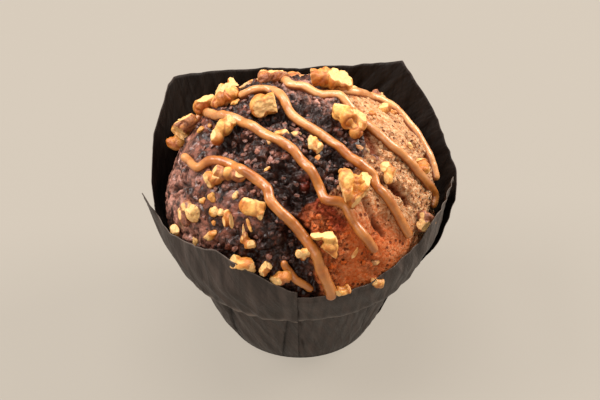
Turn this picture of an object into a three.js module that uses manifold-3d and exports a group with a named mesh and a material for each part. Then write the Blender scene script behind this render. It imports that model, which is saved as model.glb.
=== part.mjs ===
// A large bakery muffin in a tulip paper case, topped with caramel drizzle and walnut pieces.
// Millimetres, +Z up. The origin is the centre of the flat underside of the paper case.
import Module from 'manifold-3d';
import * as THREE from 'three';
import { mergeVertices } from 'three/addons/utils/BufferGeometryUtils.js';

const wasm = await Module();
wasm.setup();

// ---- Driving dimensions ----

// The cup of the case, pressed to shape by the baking tin
const BASE_RADIUS = 25;
const CREASE_RADIUS = 37;
const CUP_HEIGHT = 30;
const BASE_EDGE = 1.2;
const PAPER = 0.5;

// The risen top of the muffin
const DOME_RADIUS = 44.5;
const DOME_RISE = 39;
const OVERHANG = 17;

// The uneven top: how far it swells, the degrees over which that fades out above the overhang,
// and its waves round and down the dome
const SWELL = 0.8;
const SWELL_END = 75;
const SWELL_FADE = 20;
const LOBES_ROUND = 3;
const LOBES_DOWN = 2.2;
const RIPPLES_ROUND = 2;
const RIPPLES_DOWN = 5;

// Toppings
const DRIZZLE_RADIUS = 1.45;
const DRIZZLE_SUNK = 0.35;
const NUT_SUNK = 0.28;
const NUT_LOBES = 0.14;

// Every two touching pieces keep this far apart
const CLEARANCE = 0.3;

// ---- Sizes that follow ----

const DOME_LEVEL = CUP_HEIGHT + OVERHANG;
const CRUMB_BASE_RADIUS = BASE_RADIUS - PAPER - CLEARANCE;
const CRUMB_CREASE_RADIUS = CREASE_RADIUS - PAPER - CLEARANCE;
const CRUMB_FLOOR = PAPER + CLEARANCE;

// ---- Facets ----

const CASE_SEGMENTS = 80;
const OVERHANG_ROWS = 5;
const PETAL_ROWS = 3;
const CRUMB_SEGMENTS = 44;
const DOME_ROWS = 12;
const DRIZZLE_SIDES = 8;
const DRIZZLE_STEPS_PER_POINT = 1.6;
const WELD = 1e-4;

// The rim of the case, round from the seam at the front. Each station is its bearing in
// degrees from +X, its height above the crease and how far it stands off the muffin.
const RIM = [
  [-90, 14, 0.2], [-78, 14, 0], [-61, 15, 0], [-46, 18.5, 0], [-36, 20, 0.3], [-32, 26, 2],
  [-27, 28, 3], [-18, 28, 3], [-10, 29, 3.5], [0, 25, 5], [8, 21, 6.5], [16, 22, 6.7],
  [24, 26, 6.7], [32, 32, 6.7], [43, 39, 7], [50, 43, 7.7], [57, 40, 6.7], [69, 37, 4.5],
  [90, 33, 4.5], [115, 35, 6], [131, 39, 6.7], [142, 42, 7.7], [149, 41, 6.7], [157, 37, 6],
  [166, 32, 5.5], [176, 26, 4.5], [183, 20, 4], [188, 17, 4], [191, 23, 5.5], [194, 29, 6.5],
  [202, 24, 3], [211, 22, 0.8], [224, 24, 0], [236, 27, 0.3], [246, 25, 0], [258, 20, 0],
  [268, 16, 0.2],
];

// Drizzle routes over the dome: [east, north], in degrees down from the top.
const DRIZZLE = [
  [[-58, -3], [-53, -12], [-48, -19], [-42, -19], [-34, -23], [-27, -29], [-20, -35], [-14, -41],
    [-13, -46], [-9, -51], [-3, -57], [3, -64], [8, -70], [11, -76], [15, -82], [19, -88],
    [20, -93]],
  [[-46, 27], [-40, 11], [-32, 2], [-25, -4], [-20, -10], [-14, -16], [-9, -20], [-4, -24],
    [0, -29], [5, -35], [9, -41], [11, -46], [16, -46], [20, -47], [24, -52], [28, -56],
    [34, -60], [41, -64]],
  [[-27, 17], [-20, 14], [-15, 16], [-11, 14], [-7, 5], [-4, -2], [1, -7], [6, -11], [11, -15],
    [17, -21], [22, -25], [28, -28], [33, -30], [35, -35], [40, -38], [47, -42], [54, -46],
    [62, -49]],
  [[-14, 33], [-10, 31], [-8, 33], [-6, 25], [-4, 17], [0, 15], [5, 12], [10, 10], [15, 8],
    [19, 5], [24, 2], [28, -4], [34, -9], [40, -12], [48, -13], [55, -15], [66, -14], [77, -12],
    [79, -20]],
  [[9, 25], [14, 20], [20, 17], [26, 20], [33, 29], [41, 30], [48, 27], [54, 23], [60, 19],
    [65, 16], [70, 12], [76, 7], [80, 3]],
  [[-8, -72], [-8, -76], [-3, -82], [2, -85], [8, -90]],
  [[-62, 32], [-52, 39], [-42, 44], [-30, 45], [-18, 50], [-6, 51], [6, 47], [18, 48], [30, 53],
    [42, 51], [54, 45], [64, 37]],
  [[-50, 60], [-36, 64], [-22, 69], [-8, 66], [6, 70], [20, 67], [34, 70], [46, 62]],
];

// Walnut pieces: [east, north, length, width, height, turn], places as above, sizes in
// millimetres and the turn in degrees from east.
const WALNUTS = [
  [-55, 22, 9, 8, 7, 30], [-62, 19, 7, 6, 6, 0], [-41, 29, 7, 6.5, 5.5, 20],
  [-29, 33, 9, 6, 6, 50], [-35, 19, 8, 6, 6, 0], [-14, 1, 11, 8, 7, 10], [-33, -8, 8, 7, 6, 45],
  [-14, 37, 8, 7, 5, 0], [13, 25, 16, 9, 8, 5], [21, -6, 13, 10, 9, 110], [6, -23, 5, 4.5, 4, 0],
  [24, -38, 13, 10, 9, 70], [-39, -30, 7, 6, 5, 160], [-31, -31, 9, 6, 5, 0],
  [-21, -49, 10, 8, 5, 30], [-57, -38, 8, 7, 5.5, 60], [-34, -50, 5, 3.6, 3, 90],
  [13, -64, 11, 9, 7, 20], [2, -69, 4.5, 4, 3.5, 0], [-30, -72, 8, 5, 5, 10],
  [-19, -75, 5, 4, 4, 40], [-11, -81, 7, 5, 5, 0], [49, -77, 5, 4, 3.5, 0],
  [69, -36, 7, 6, 6, 80], [60, -9, 6, 5, 4.5, 30], [39, -27, 6, 5, 3.5, 120],
  [38, 31, 6, 5, 4.5, 0], [-75, -39, 5, 4, 3.5, 20], [-26, -62, 5, 4, 3.5, 150],
  [26, -87, 5, 4, 4, 0], [38, 15, 5, 4, 4, 60],
  [-52, 50, 9, 7, 6, 40], [-30, 57, 8, 7, 6, 100], [-8, 59, 12, 8, 7, 10], [14, 58, 8, 6, 6, 70],
  [34, 61, 10, 8, 7, 150], [54, 54, 7, 6, 5, 0], [4, 80, 8, 6, 6, 30], [-56, 64, 7, 6, 5, 60],
];
const NUT_FINE_FROM = 7;

// ---- Finishes ----

const FINISH = {
  paper: new THREE.MeshStandardMaterial({ color: 0x3a3029, roughness: 0.75, metalness: 0 }),
  crumb: new THREE.MeshStandardMaterial({ color: 0x6a3f2c, roughness: 0.9, metalness: 0 }),
  caramel: new THREE.MeshStandardMaterial({ color: 0xdd9450, roughness: 0.35, metalness: 0 }),
  walnut: new THREE.MeshStandardMaterial({ color: 0xe0a868, roughness: 0.6, metalness: 0 }),
};

// ---- Shared geometry ----

const radians = THREE.MathUtils.degToRad;
const mix = THREE.MathUtils.lerp;

/** Makes a solid of a closed geometry. */
function toSolid(geometry) {
  const bare = geometry.clone();
  bare.deleteAttribute('normal');
  bare.deleteAttribute('uv');
  const merged = mergeVertices(bare, WELD);
  const corners = merged.index.array;
  const faces = [];
  for (let i = 0; i < corners.length; i += 3) {
    const [a, b, c] = corners.slice(i, i + 3);
    if (a !== b && b !== c && c !== a) faces.push(a, b, c);
  }
  return new wasm.Manifold(new wasm.Mesh({
    numProp: 3,
    vertProperties: new Float32Array(merged.attributes.position.array),
    triVerts: new Uint32Array(faces),
  }));
}

/** Makes a geometry of a solid. */
function toGeometry(solid) {
  const { vertProperties, triVerts } = solid.getMesh();
  const geometry = new THREE.BufferGeometry();
  geometry.setAttribute('position', new THREE.BufferAttribute(vertProperties, 3));
  geometry.setIndex(new THREE.BufferAttribute(triVerts, 1));
  return geometry;
}

/** Cuts the tools away from a solid and keeps the largest piece that is left. */
function trimmed(solid, tools) {
  let left = solid;
  for (const tool of tools) left = left.subtract(tool);
  const pieces = left.decompose();
  return pieces.reduce((best, piece) => (piece.volume() > best.volume() ? piece : best));
}

/** Turns a half profile of [radius, height] rows about Z, from the axis round to the axis. */
function turned(profile, segments) {
  const points = profile.map(([radius, height]) => new THREE.Vector2(radius, height));
  return new THREE.LatheGeometry(points, segments).rotateX(Math.PI / 2);
}

// ---- The muffin's surface ----

/** The muffin's radius at a height: the cup's cone, the overhang, then the dome. */
function muffinRadius(height) {
  if (height <= CUP_HEIGHT) {
    const climb = (height - BASE_EDGE) / (CUP_HEIGHT - BASE_EDGE);
    return mix(CRUMB_BASE_RADIUS, CRUMB_CREASE_RADIUS, climb);
  }
  const below = Math.max(0, (DOME_LEVEL - height) / OVERHANG);
  const overhang = mix(CRUMB_CREASE_RADIUS, DOME_RADIUS, Math.cos(below * Math.PI / 2));
  if (height <= DOME_LEVEL) return overhang;
  return DOME_RADIUS * Math.sqrt(Math.max(0, 1 - ((height - DOME_LEVEL) / DOME_RISE) ** 2));
}

/** How far the uneven top swells out, in millimetres, at a tilt and bearing in radians. */
function swell(tilt, bearing) {
  const fade = THREE.MathUtils.smoothstep(radians(SWELL_END) - tilt, 0, radians(SWELL_FADE));
  const lobes = Math.sin(LOBES_ROUND * bearing + 1) * Math.sin(LOBES_DOWN * tilt);
  const ripples = Math.sin(RIPPLES_DOWN * tilt + RIPPLES_ROUND * bearing);
  return SWELL * fade * (lobes + ripples) / 2;
}

/** The point over the dome at [east, north] degrees from the top, and the way out of it there. */
function overDome(east, north, lift) {
  const tilt = radians(Math.hypot(east, north));
  const bearing = Math.atan2(north, east);
  const height = DOME_LEVEL + DOME_RISE * Math.cos(tilt);
  const radius = muffinRadius(height);
  const point = new THREE.Vector3(radius * Math.cos(bearing), radius * Math.sin(bearing), height);
  const out = new THREE.Vector3(
    Math.sin(tilt) * Math.cos(bearing) / DOME_RADIUS,
    Math.sin(tilt) * Math.sin(bearing) / DOME_RADIUS,
    Math.cos(tilt) / DOME_RISE,
  ).normalize();
  return { point: point.addScaledVector(out, lift + swell(tilt, bearing)), out };
}

// ---- The muffin ----

/** The baked crumb, its skin moved out by grow. */
function crumbGeometry(grow) {
  const floor = CRUMB_FLOOR - grow;
  const profile = [
    [0, floor], [CRUMB_BASE_RADIUS - BASE_EDGE + grow, floor],
    [muffinRadius(CRUMB_FLOOR + BASE_EDGE) + grow, floor + BASE_EDGE],
  ];
  for (let row = 0; row <= OVERHANG_ROWS; row += 1) {
    const height = CUP_HEIGHT + OVERHANG * row / OVERHANG_ROWS;
    profile.push([muffinRadius(height) + grow, height]);
  }
  for (let row = 1; row <= DOME_ROWS; row += 1) {
    const tilt = Math.PI / 2 * (1 - row / DOME_ROWS);
    const radius = row === DOME_ROWS ? 0 : (DOME_RADIUS + grow) * Math.sin(tilt);
    profile.push([radius, DOME_LEVEL + (DOME_RISE + grow) * Math.cos(tilt)]);
  }
  const geometry = turned(profile, CRUMB_SEGMENTS);
  const places = geometry.attributes.position;
  const place = new THREE.Vector3();
  for (let i = 0; i < places.count; i += 1) {
    place.fromBufferAttribute(places, i);
    const up = (place.z - DOME_LEVEL) / DOME_RISE;
    if (up <= 0) continue;
    const tilt = Math.acos(Math.min(1, up));
    const rise = swell(tilt, tilt < 1e-3 ? 0 : Math.atan2(place.y, place.x));
    const stretch = 1 + rise / DOME_RADIUS;
    places.setXYZ(i, place.x * stretch, place.y * stretch, DOME_LEVEL
      + (place.z - DOME_LEVEL) * (1 + rise / DOME_RISE));
  }
  return geometry;
}

// ---- The paper case ----

/** The rim's height above the crease and its stand-off at a bearing in degrees. */
function rimAt(bearing) {
  const first = RIM[0][0];
  const turn = first + ((bearing - first) % 360 + 360) % 360;
  const next = RIM.findIndex((station) => station[0] > turn);
  const before = next < 0 ? RIM[RIM.length - 1] : RIM[next - 1];
  const after = next < 0 ? [first + 360, RIM[0][1], RIM[0][2]] : RIM[next];
  const share = (turn - before[0]) / (after[0] - before[0]);
  return [mix(before[1], after[1], share), mix(before[2], after[2], share)];
}

/** A flare row's height above the crease: level with the muffin's own rows, then up the petal. */
function flareHeight(row, rimHeight) {
  const hugged = Math.min(OVERHANG, rimHeight);
  if (row <= OVERHANG_ROWS) return hugged * row / OVERHANG_ROWS;
  return mix(hugged, rimHeight, (row - OVERHANG_ROWS) / PETAL_ROWS);
}

/** The case's wall: outside from the base up to the rim, then back down the inside. */
function caseGeometry(grow) {
  const wall = PAPER + 2 * grow;
  const outside = [
    [BASE_RADIUS - BASE_EDGE + grow, -grow], [BASE_RADIUS + grow, BASE_EDGE - grow],
    [mix(BASE_RADIUS, CREASE_RADIUS, 0.5) + grow, mix(BASE_EDGE, CUP_HEIGHT, 0.5)],
  ];
  const flareStart = 1 + outside.length;
  const flareRows = OVERHANG_ROWS + PETAL_ROWS;
  for (let row = 0; row <= flareRows; row += 1) outside.push([CREASE_RADIUS + grow, CUP_HEIGHT]);
  const inside = outside.map(([radius, height]) => [radius - wall, height]).reverse();
  inside[inside.length - 1][1] = PAPER + grow;
  inside[inside.length - 2][1] = Math.max(BASE_EDGE, PAPER) + grow;
  const profile = [[0, -grow], ...outside, ...inside, [0, PAPER + grow]];
  const geometry = turned(profile, CASE_SEGMENTS);
  const places = geometry.attributes.position;
  for (let i = 0; i < places.count; i += 1) {
    const row = i % profile.length;
    const mirrored = Math.min(row, profile.length - 1 - row);
    if (mirrored < flareStart) continue;
    const bearing = Math.atan2(places.getY(i), places.getX(i));
    const [rimHeight, standOff] = rimAt(THREE.MathUtils.radToDeg(bearing));
    const above = flareHeight(mirrored - flareStart, rimHeight);
    const share = above / rimHeight;
    const height = CUP_HEIGHT + above;
    const hugging = muffinRadius(Math.min(height, DOME_LEVEL)) + CLEARANCE + PAPER;
    const outer = hugging + standOff * share * share + grow;
    const radius = row === mirrored ? outer : outer - wall;
    const top = mirrored === flareStart + flareRows ? grow : 0;
    places.setXYZ(i, radius * Math.cos(bearing), radius * Math.sin(bearing), height + top);
  }
  return geometry;
}

// ---- Toppings ----

/** One strand of drizzle, its round section grown by grow. */
function drizzleGeometry(route, grow) {
  const lift = DRIZZLE_RADIUS * (1 - DRIZZLE_SUNK);
  const path = new THREE.CatmullRomCurve3(
    route.map(([east, north]) => overDome(east, north, lift).point),
  );
  const section = new THREE.Shape();
  section.absarc(0, 0, DRIZZLE_RADIUS + grow, 0, 2 * Math.PI, false);
  return new THREE.ExtrudeGeometry(section, {
    steps: Math.round(route.length * DRIZZLE_STEPS_PER_POINT),
    curveSegments: DRIZZLE_SIDES / 2,
    extrudePath: path,
    bevelEnabled: false,
  });
}

/** One lobed lump of walnut, where it lies on the dome. */
function walnutGeometry([east, north, length, width, height, turn], seed, grow) {
  const lump = new THREE.IcosahedronGeometry(1, length >= NUT_FINE_FROM ? 1 : 0);
  const places = lump.attributes.position;
  const way = new THREE.Vector3();
  for (let i = 0; i < places.count; i += 1) {
    way.fromBufferAttribute(places, i);
    const lobes = Math.sin(3.3 * way.x + seed) * Math.cos(2.9 * way.y + 2 * seed)
      + 0.6 * Math.sin(4.1 * way.z + 3 * seed);
    way.multiplyScalar(0.5 * (1 + NUT_LOBES * lobes));
    places.setXYZ(i, way.x * length, way.y * width, way.z * height);
  }
  if (grow > 0) {
    lump.scale(1 + 2 * grow / length, 1 + 2 * grow / width, 1 + 2 * grow / height);
  }
  const { point, out } = overDome(east, north, height * (0.5 - NUT_SUNK));
  const tip = new THREE.Quaternion().setFromUnitVectors(new THREE.Vector3(0, 0, 1), out);
  return lump.rotateZ(radians(turn)).applyQuaternion(tip).translate(point.x, point.y, point.z);
}

// ---- Assembly ----

/** Adds a named piece, its geometry already where it belongs. */
function addPiece(group, name, geometry, finish) {
  const mesh = new THREE.Mesh(geometry, finish);
  mesh.name = name;
  group.add(mesh);
  return mesh;
}

/** Adds a loose topping, which has its own origin at its middle. */
function addTopping(group, name, solid, finish) {
  const geometry = toGeometry(solid);
  geometry.computeBoundingBox();
  const middle = geometry.boundingBox.getCenter(new THREE.Vector3());
  geometry.translate(-middle.x, -middle.y, -middle.z);
  addPiece(group, name, geometry, finish).position.copy(middle);
}

const muffin = new THREE.Group();
addPiece(muffin, 'tulip_case', caseGeometry(0), FINISH.paper);
addPiece(muffin, 'muffin_crumb', crumbGeometry(0), FINISH.crumb);

const taken = [toSolid(crumbGeometry(CLEARANCE)), toSolid(caseGeometry(CLEARANCE))];
const drizzle = new THREE.Group();
DRIZZLE.forEach((route, index) => {
  const strand = trimmed(toSolid(drizzleGeometry(route, 0)), taken);
  addTopping(drizzle, `caramel_drizzle_${index + 1}`, strand, FINISH.caramel);
  taken.push(toSolid(drizzleGeometry(route, CLEARANCE)));
});

const walnuts = new THREE.Group();
WALNUTS.forEach((walnut, index) => {
  const piece = trimmed(toSolid(walnutGeometry(walnut, index, 0)), taken);
  addTopping(walnuts, `walnut_piece_${index + 1}`, piece, FINISH.walnut);
  taken.push(toSolid(walnutGeometry(walnut, index, CLEARANCE)));
});
muffin.add(drizzle, walnuts);

export default muffin;
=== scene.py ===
"""Looks for a walnut and caramel muffin in a tulip paper case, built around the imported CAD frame."""

from __future__ import annotations

import logging
import math
import random
from dataclasses import dataclass, field
from enum import Enum
from typing import Sequence

import bpy
import numpy as np
from mathutils import Matrix, Vector, noise
from mathutils.bvhtree import BVHTree


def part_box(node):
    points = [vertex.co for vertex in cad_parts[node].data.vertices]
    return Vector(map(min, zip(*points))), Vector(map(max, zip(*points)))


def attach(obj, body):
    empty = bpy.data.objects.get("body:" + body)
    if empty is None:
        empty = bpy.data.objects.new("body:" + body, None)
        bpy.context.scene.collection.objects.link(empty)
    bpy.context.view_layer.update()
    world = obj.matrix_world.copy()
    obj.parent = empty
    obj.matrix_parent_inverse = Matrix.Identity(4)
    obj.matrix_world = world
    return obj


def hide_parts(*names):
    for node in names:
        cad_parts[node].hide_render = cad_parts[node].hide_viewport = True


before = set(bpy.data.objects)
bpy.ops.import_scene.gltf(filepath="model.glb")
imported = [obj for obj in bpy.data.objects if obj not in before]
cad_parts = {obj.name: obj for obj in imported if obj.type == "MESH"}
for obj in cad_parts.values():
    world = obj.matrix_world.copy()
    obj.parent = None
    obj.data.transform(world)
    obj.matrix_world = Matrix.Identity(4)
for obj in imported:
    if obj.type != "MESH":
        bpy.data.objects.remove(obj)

LOG = logging.getLogger("muffin")
MM = 0.001
BODY = "root"
Point = tuple[float, float]
Colour = tuple[float, float, float]


# ---------------------------------------------------------------- bench tools


def only(obj: bpy.types.Object) -> bpy.types.Object:
    """Selects one object alone and makes it active.

    Args:
        obj: The object.

    Returns:
        The same object.
    """
    bpy.ops.object.select_all(action="DESELECT")
    obj.select_set(True)
    bpy.context.view_layer.objects.active = obj
    return obj


def smooth(obj: bpy.types.Object) -> None:
    """Shades an object smooth."""
    only(obj)
    bpy.ops.object.shade_smooth()


def modify(obj: bpy.types.Object, kind: str, **settings: object) -> None:
    """Adds one modifier to an object and applies it.

    Args:
        obj: The object to change.
        kind: The modifier's type, such as "REMESH".
        settings: The modifier's own settings.
    """
    only(obj)
    modifier = obj.modifiers.new(kind.lower(), kind)
    for name, value in settings.items():
        setattr(modifier, name, value)
    bpy.ops.object.modifier_apply(modifier=modifier.name)


def object_from(name: str, points: np.ndarray, faces: Sequence[Sequence[int]]) -> bpy.types.Object:
    """Makes a mesh object at the origin.

    Args:
        name: The object's name.
        points: Its vertices, one row each, in metres.
        faces: Its faces, as vertex numbers.

    Returns:
        The new object, in the scene.
    """
    mesh = bpy.data.meshes.new(name)
    mesh.from_pydata([tuple(p) for p in points], [], [tuple(f) for f in faces])
    mesh.update()
    obj = bpy.data.objects.new(name, mesh)
    bpy.context.collection.objects.link(obj)
    return obj


def points_of(obj: bpy.types.Object) -> np.ndarray:
    """Gives an object's vertices, one row each.

    Args:
        obj: A mesh object.

    Returns:
        Its vertices, in metres.
    """
    points = np.empty(len(obj.data.vertices) * 3)
    obj.data.vertices.foreach_get("co", points)
    return points.reshape(-1, 3)


def move_points(obj: bpy.types.Object, points: np.ndarray) -> None:
    """Puts an object's vertices at new places."""
    obj.data.vertices.foreach_set("co", points.ravel())
    obj.data.update()


def normals_of(obj: bpy.types.Object) -> np.ndarray:
    """Gives an object's vertex normals, one row each.

    Args:
        obj: A mesh object.

    Returns:
        Its vertices' normals.
    """
    normals = np.empty(len(obj.data.vertices) * 3)
    obj.data.vertex_normals.foreach_get("vector", normals)
    return normals.reshape(-1, 3)


def paint(obj: bpy.types.Object, name: str, values: np.ndarray) -> None:
    """Stores one number per vertex as an attribute of the mesh."""
    attribute = obj.data.attributes.new(name, "FLOAT", "POINT")
    attribute.data.foreach_set("value", np.asarray(values, dtype=np.float32))


def wavy(points: np.ndarray, size: float, offset: float = 0.0) -> np.ndarray:
    """Smooth noise from -1 to 1.

    Args:
        points: Places in metres.
        size: The width of its waves, in millimetres.
        offset: Shifts the pattern, to give another one.

    Returns:
        One value for each place.
    """
    scaled = points / (size * MM) + offset
    return np.array([noise.noise(Vector(p)) for p in scaled])


def grains(points: np.ndarray, size: float, offset: float = 0.0) -> tuple[np.ndarray, np.ndarray]:
    """Packs space with grains of about one size, as in broken crumb.

    Args:
        points: Places in metres.
        size: A grain's width, in millimetres.
        offset: Shifts the pattern, to give another one.

    Returns:
        Each place's grain, as a number from 0 to 1 that tells it from its neighbours, and how far
        it is from the gap between grains, from 0 in the gap.
    """
    kinds, gaps = np.empty(len(points)), np.empty(len(points))
    for i, place in enumerate(points / (size * MM) + offset):
        reaches, middles = noise.voronoi(Vector(place))
        kinds[i] = noise.cell(middles[0] * 7.3) % 1.0
        gaps[i] = reaches[1] - reaches[0]
    return kinds, gaps


def ramp(values: np.ndarray, low: float, high: float) -> np.ndarray:
    """Goes smoothly from 0 at low to 1 at high."""
    share = np.clip((values - low) / (high - low), 0.0, 1.0)
    return share * share * (3.0 - 2.0 * share)


def along(route: np.ndarray, step: float) -> np.ndarray:
    """Draws a smooth curve through a route.

    Args:
        route: The points that it passes, one row each.
        step: The spacing of the points given back, in the route's own units.

    Returns:
        Points along a Catmull-Rom spline, one row each.
    """
    ends = np.vstack([2 * route[0] - route[1], route, 2 * route[-1] - route[-2]])
    result = []
    for i in range(1, len(ends) - 2):
        before, start, stop, after = ends[i - 1 : i + 3]
        count = max(2, int(np.linalg.norm(stop - start) / step))
        for t in np.arange(count) / count:
            result.append(
                0.5
                * (
                    2 * start
                    + (stop - before) * t
                    + (2 * before - 5 * start + 4 * stop - after) * t**2
                    + (3 * start - before - 3 * stop + after) * t**3
                )
            )
    result.append(route[-1])
    return np.array(result)


def soften(values: np.ndarray, width: int) -> np.ndarray:
    """Evens out rows of values along a line, each column by itself.

    Args:
        values: The rows, in their order along the line.
        width: How many rows each average takes in, an odd number.

    Returns:
        The evened rows, as many as before.
    """
    half = width // 2
    ends = np.pad(values, ((half, half), (0, 0)), mode="edge")
    return np.stack([np.convolve(column, np.ones(width) / width, "valid") for column in ends.T], axis=1)


def distance_to(route: Sequence[Point], east: np.ndarray, north: np.ndarray) -> np.ndarray:
    """Gives the distance, in degrees, from places on the dome's chart to a route on it.

    Args:
        route: The route, as east and north in degrees.
        east: The places' degrees east.
        north: The places' degrees north.

    Returns:
        One distance for each place.
    """
    places = np.stack([east, north], axis=1)
    nearest = np.full(len(places), np.inf)
    for start, stop in zip(np.array(route[:-1], float), np.array(route[1:], float)):
        run = stop - start
        share = np.clip((places - start) @ run / (run @ run), 0.0, 1.0)
        nearest = np.minimum(nearest, np.linalg.norm(places - start - share[:, None] * run, axis=1))
    return nearest


def finish_piece(obj: bpy.types.Object, nodes: Sequence[str]) -> bpy.types.Object:
    """Gives a finished piece to the frame.

    Args:
        obj: The piece.
        nodes: The CAD nodes that it stands for.

    Returns:
        The same piece.
    """
    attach(obj, BODY)
    if nodes:
        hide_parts(*nodes)
    LOG.info("%s: %d faces", obj.name, len(obj.data.polygons))
    return obj


# ---------------------------------------------------------------- the dome's chart


@dataclass(frozen=True)
class Dome:
    """The muffin's smooth top, as a half spheroid, charted in degrees down from its top."""

    radius: float
    rise: float
    level: float

    @classmethod
    def from_frame(cls) -> Dome:
        """Measures the dome on the CAD crumb.

        Returns:
            The dome, its sizes in metres.
        """
        points = points_of(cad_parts["muffin_crumb"])
        reach = np.hypot(points[:, 0], points[:, 1])
        widest = points[np.isclose(reach, reach.max(), atol=0.01 * MM), 2]
        level = float(widest.mean())
        return cls(float(reach.max()), float(points[:, 2].max()) - level, level)

    def place(self, east: float, north: float, lift: float = 0.0) -> tuple[Vector, Vector]:
        """Finds a place over the dome.

        Args:
            east: Degrees from the top towards +X.
            north: Degrees from the top towards +Y.
            lift: Height over the dome, in metres.

        Returns:
            The place, and the way out of the dome there.
        """
        tilt, bearing = math.radians(math.hypot(east, north)), math.atan2(north, east)
        side, up = math.sin(tilt), math.cos(tilt)
        out = Vector((side * math.cos(bearing) / self.radius, side * math.sin(bearing) / self.radius,
                      up / self.rise)).normalized()
        at = Vector((self.radius * side * math.cos(bearing), self.radius * side * math.sin(bearing),
                     self.level + self.rise * up))
        return at + lift * out, out

    def outward(self, points: np.ndarray) -> np.ndarray:
        """Gives the way out of the dome at places on or near it, one row each."""
        ways = (points - (0.0, 0.0, self.level)) / (self.radius**2, self.radius**2, self.rise**2)
        return ways / np.linalg.norm(ways, axis=1)[:, None]

    def chart(self, points: np.ndarray) -> tuple[np.ndarray, np.ndarray]:
        """Gives the east and north, in degrees, of places on or near the dome.

        Args:
            points: The places, one row each, in metres.

        Returns:
            Their degrees east, and their degrees north.
        """
        up = (points[:, 2] - self.level) / self.rise
        reach = np.hypot(points[:, 0], points[:, 1]) / self.radius
        tilt = np.degrees(np.arctan2(reach, up))
        bearing = np.arctan2(points[:, 1], points[:, 0])
        return tilt * np.cos(bearing), tilt * np.sin(bearing)


# ---------------------------------------------------------------- node work


class Sheet:
    """A node tree with short ways to add its nodes."""

    def __init__(self, tree: bpy.types.NodeTree) -> None:
        """Takes an empty node tree."""
        self.tree = tree

    def add(self, kind: str, inputs: dict | None = None, **settings: object) -> bpy.types.Node:
        """Adds a node.

        Args:
            kind: The node's type, without "ShaderNode".
            inputs: Values or sockets for its inputs, by name or number.
            settings: The node's own settings.

        Returns:
            The node.
        """
        node = self.tree.nodes.new("ShaderNode" + kind)
        for name, value in settings.items():
            setattr(node, name, value)
        for key, value in (inputs or {}).items():
            self.feed(node.inputs[key], value)
        return node

    def feed(self, given: bpy.types.NodeSocket, value: object) -> None:
        """Links a socket to an input, or sets the input to a value; a colour gets its alpha here.

        Args:
            given: The input.
            value: A socket, a number or a colour.
        """
        if isinstance(value, bpy.types.NodeSocket):
            self.tree.links.new(value, given)
        elif given.type == "RGBA" and len(value) == 3:
            given.default_value = (*value, 1.0)
        else:
            given.default_value = value

    def math(self, operation: str, first: object, second: object = 0.0) -> bpy.types.NodeSocket:
        """Works out one sum."""
        return self.add("Math", {0: first, 1: second}, operation=operation).outputs[0]

    def between(self, value: object, low: float, high: float, first: float = 0.0,
                last: float = 1.0) -> bpy.types.NodeSocket:
        """Maps a value from low..high smoothly to first..last."""
        inputs = {"Value": value, "From Min": low, "From Max": high, "To Min": first, "To Max": last}
        return self.add("MapRange", inputs, interpolation_type="SMOOTHSTEP").outputs[0]

    def blend(self, share: object, first: object, second: object) -> bpy.types.NodeSocket:
        """Blends two colours.

        Args:
            share: How much of the second colour there is, from 0 to 1.
            first: A colour or a socket.
            second: A colour or a socket.

        Returns:
            The blended colour.
        """
        node = self.add("Mix", {"Factor": share}, data_type="RGBA")
        self.feed(node.inputs[6], first)
        self.feed(node.inputs[7], second)
        return node.outputs[2]

    def painted(self, name: str) -> bpy.types.NodeSocket:
        """Reads one of the piece's own attributes."""
        return self.add("Attribute", attribute_name=name).outputs["Fac"]

    def speckle(self, scale: float, seed: float = 0.0, detail: float = 4.0,
                rough: float = 0.6) -> bpy.types.NodeSocket:
        """Adds the shared grain group and gives its value.

        Args:
            scale: Waves per metre.
            seed: Which of the patterns is taken.
            detail: How many finer layers it has.
            rough: How strong the finer layers are.

        Returns:
            The grain, about 0.5.
        """
        inputs = {"Waves per metre": scale, "Seed": seed, "Detail": detail, "Harshness": rough}
        return self.add("Group", inputs, node_tree=grain_group()).outputs["Grain"]

    def pits(self, scale: float, size: float, share: float,
             seed: float = 0.0) -> bpy.types.NodeSocket:
        """Adds the shared pore group and gives its mask, 1 inside a pore.

        Args:
            scale: Cells per metre.
            size: A pore's size, as a share of its cell.
            share: The share of cells that have a pore.
            seed: Which of the patterns is taken.

        Returns:
            The mask.
        """
        inputs = {"Cells per metre": scale, "Size": size, "Share": share, "Seed": seed}
        return self.add("Group", inputs, node_tree=pore_group()).outputs["Pore"]

    def bumps(self, height: object, depth: float, strength: float = 1.0) -> bpy.types.NodeSocket:
        """Turns a height into a normal, for a depth in millimetres."""
        inputs = {"Height": height, "Distance": depth * MM, "Strength": strength}
        return self.add("Bump", inputs).outputs["Normal"]


def new_group(name: str, inputs: dict[str, float], output: str) -> tuple[Sheet, object, object]:
    """Starts a node group with number inputs and one number output.

    Args:
        name: The group's name.
        inputs: Each input's name and default.
        output: The output's name.

    Returns:
        Its sheet, its input node and its output node.
    """
    tree = bpy.data.node_groups.new(name, "ShaderNodeTree")
    for label, value in inputs.items():
        socket = tree.interface.new_socket(label, in_out="INPUT", socket_type="NodeSocketFloat")
        socket.default_value = value
    tree.interface.new_socket(output, in_out="OUTPUT", socket_type="NodeSocketFloat")
    return Sheet(tree), tree.nodes.new("NodeGroupInput"), tree.nodes.new("NodeGroupOutput")


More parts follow.
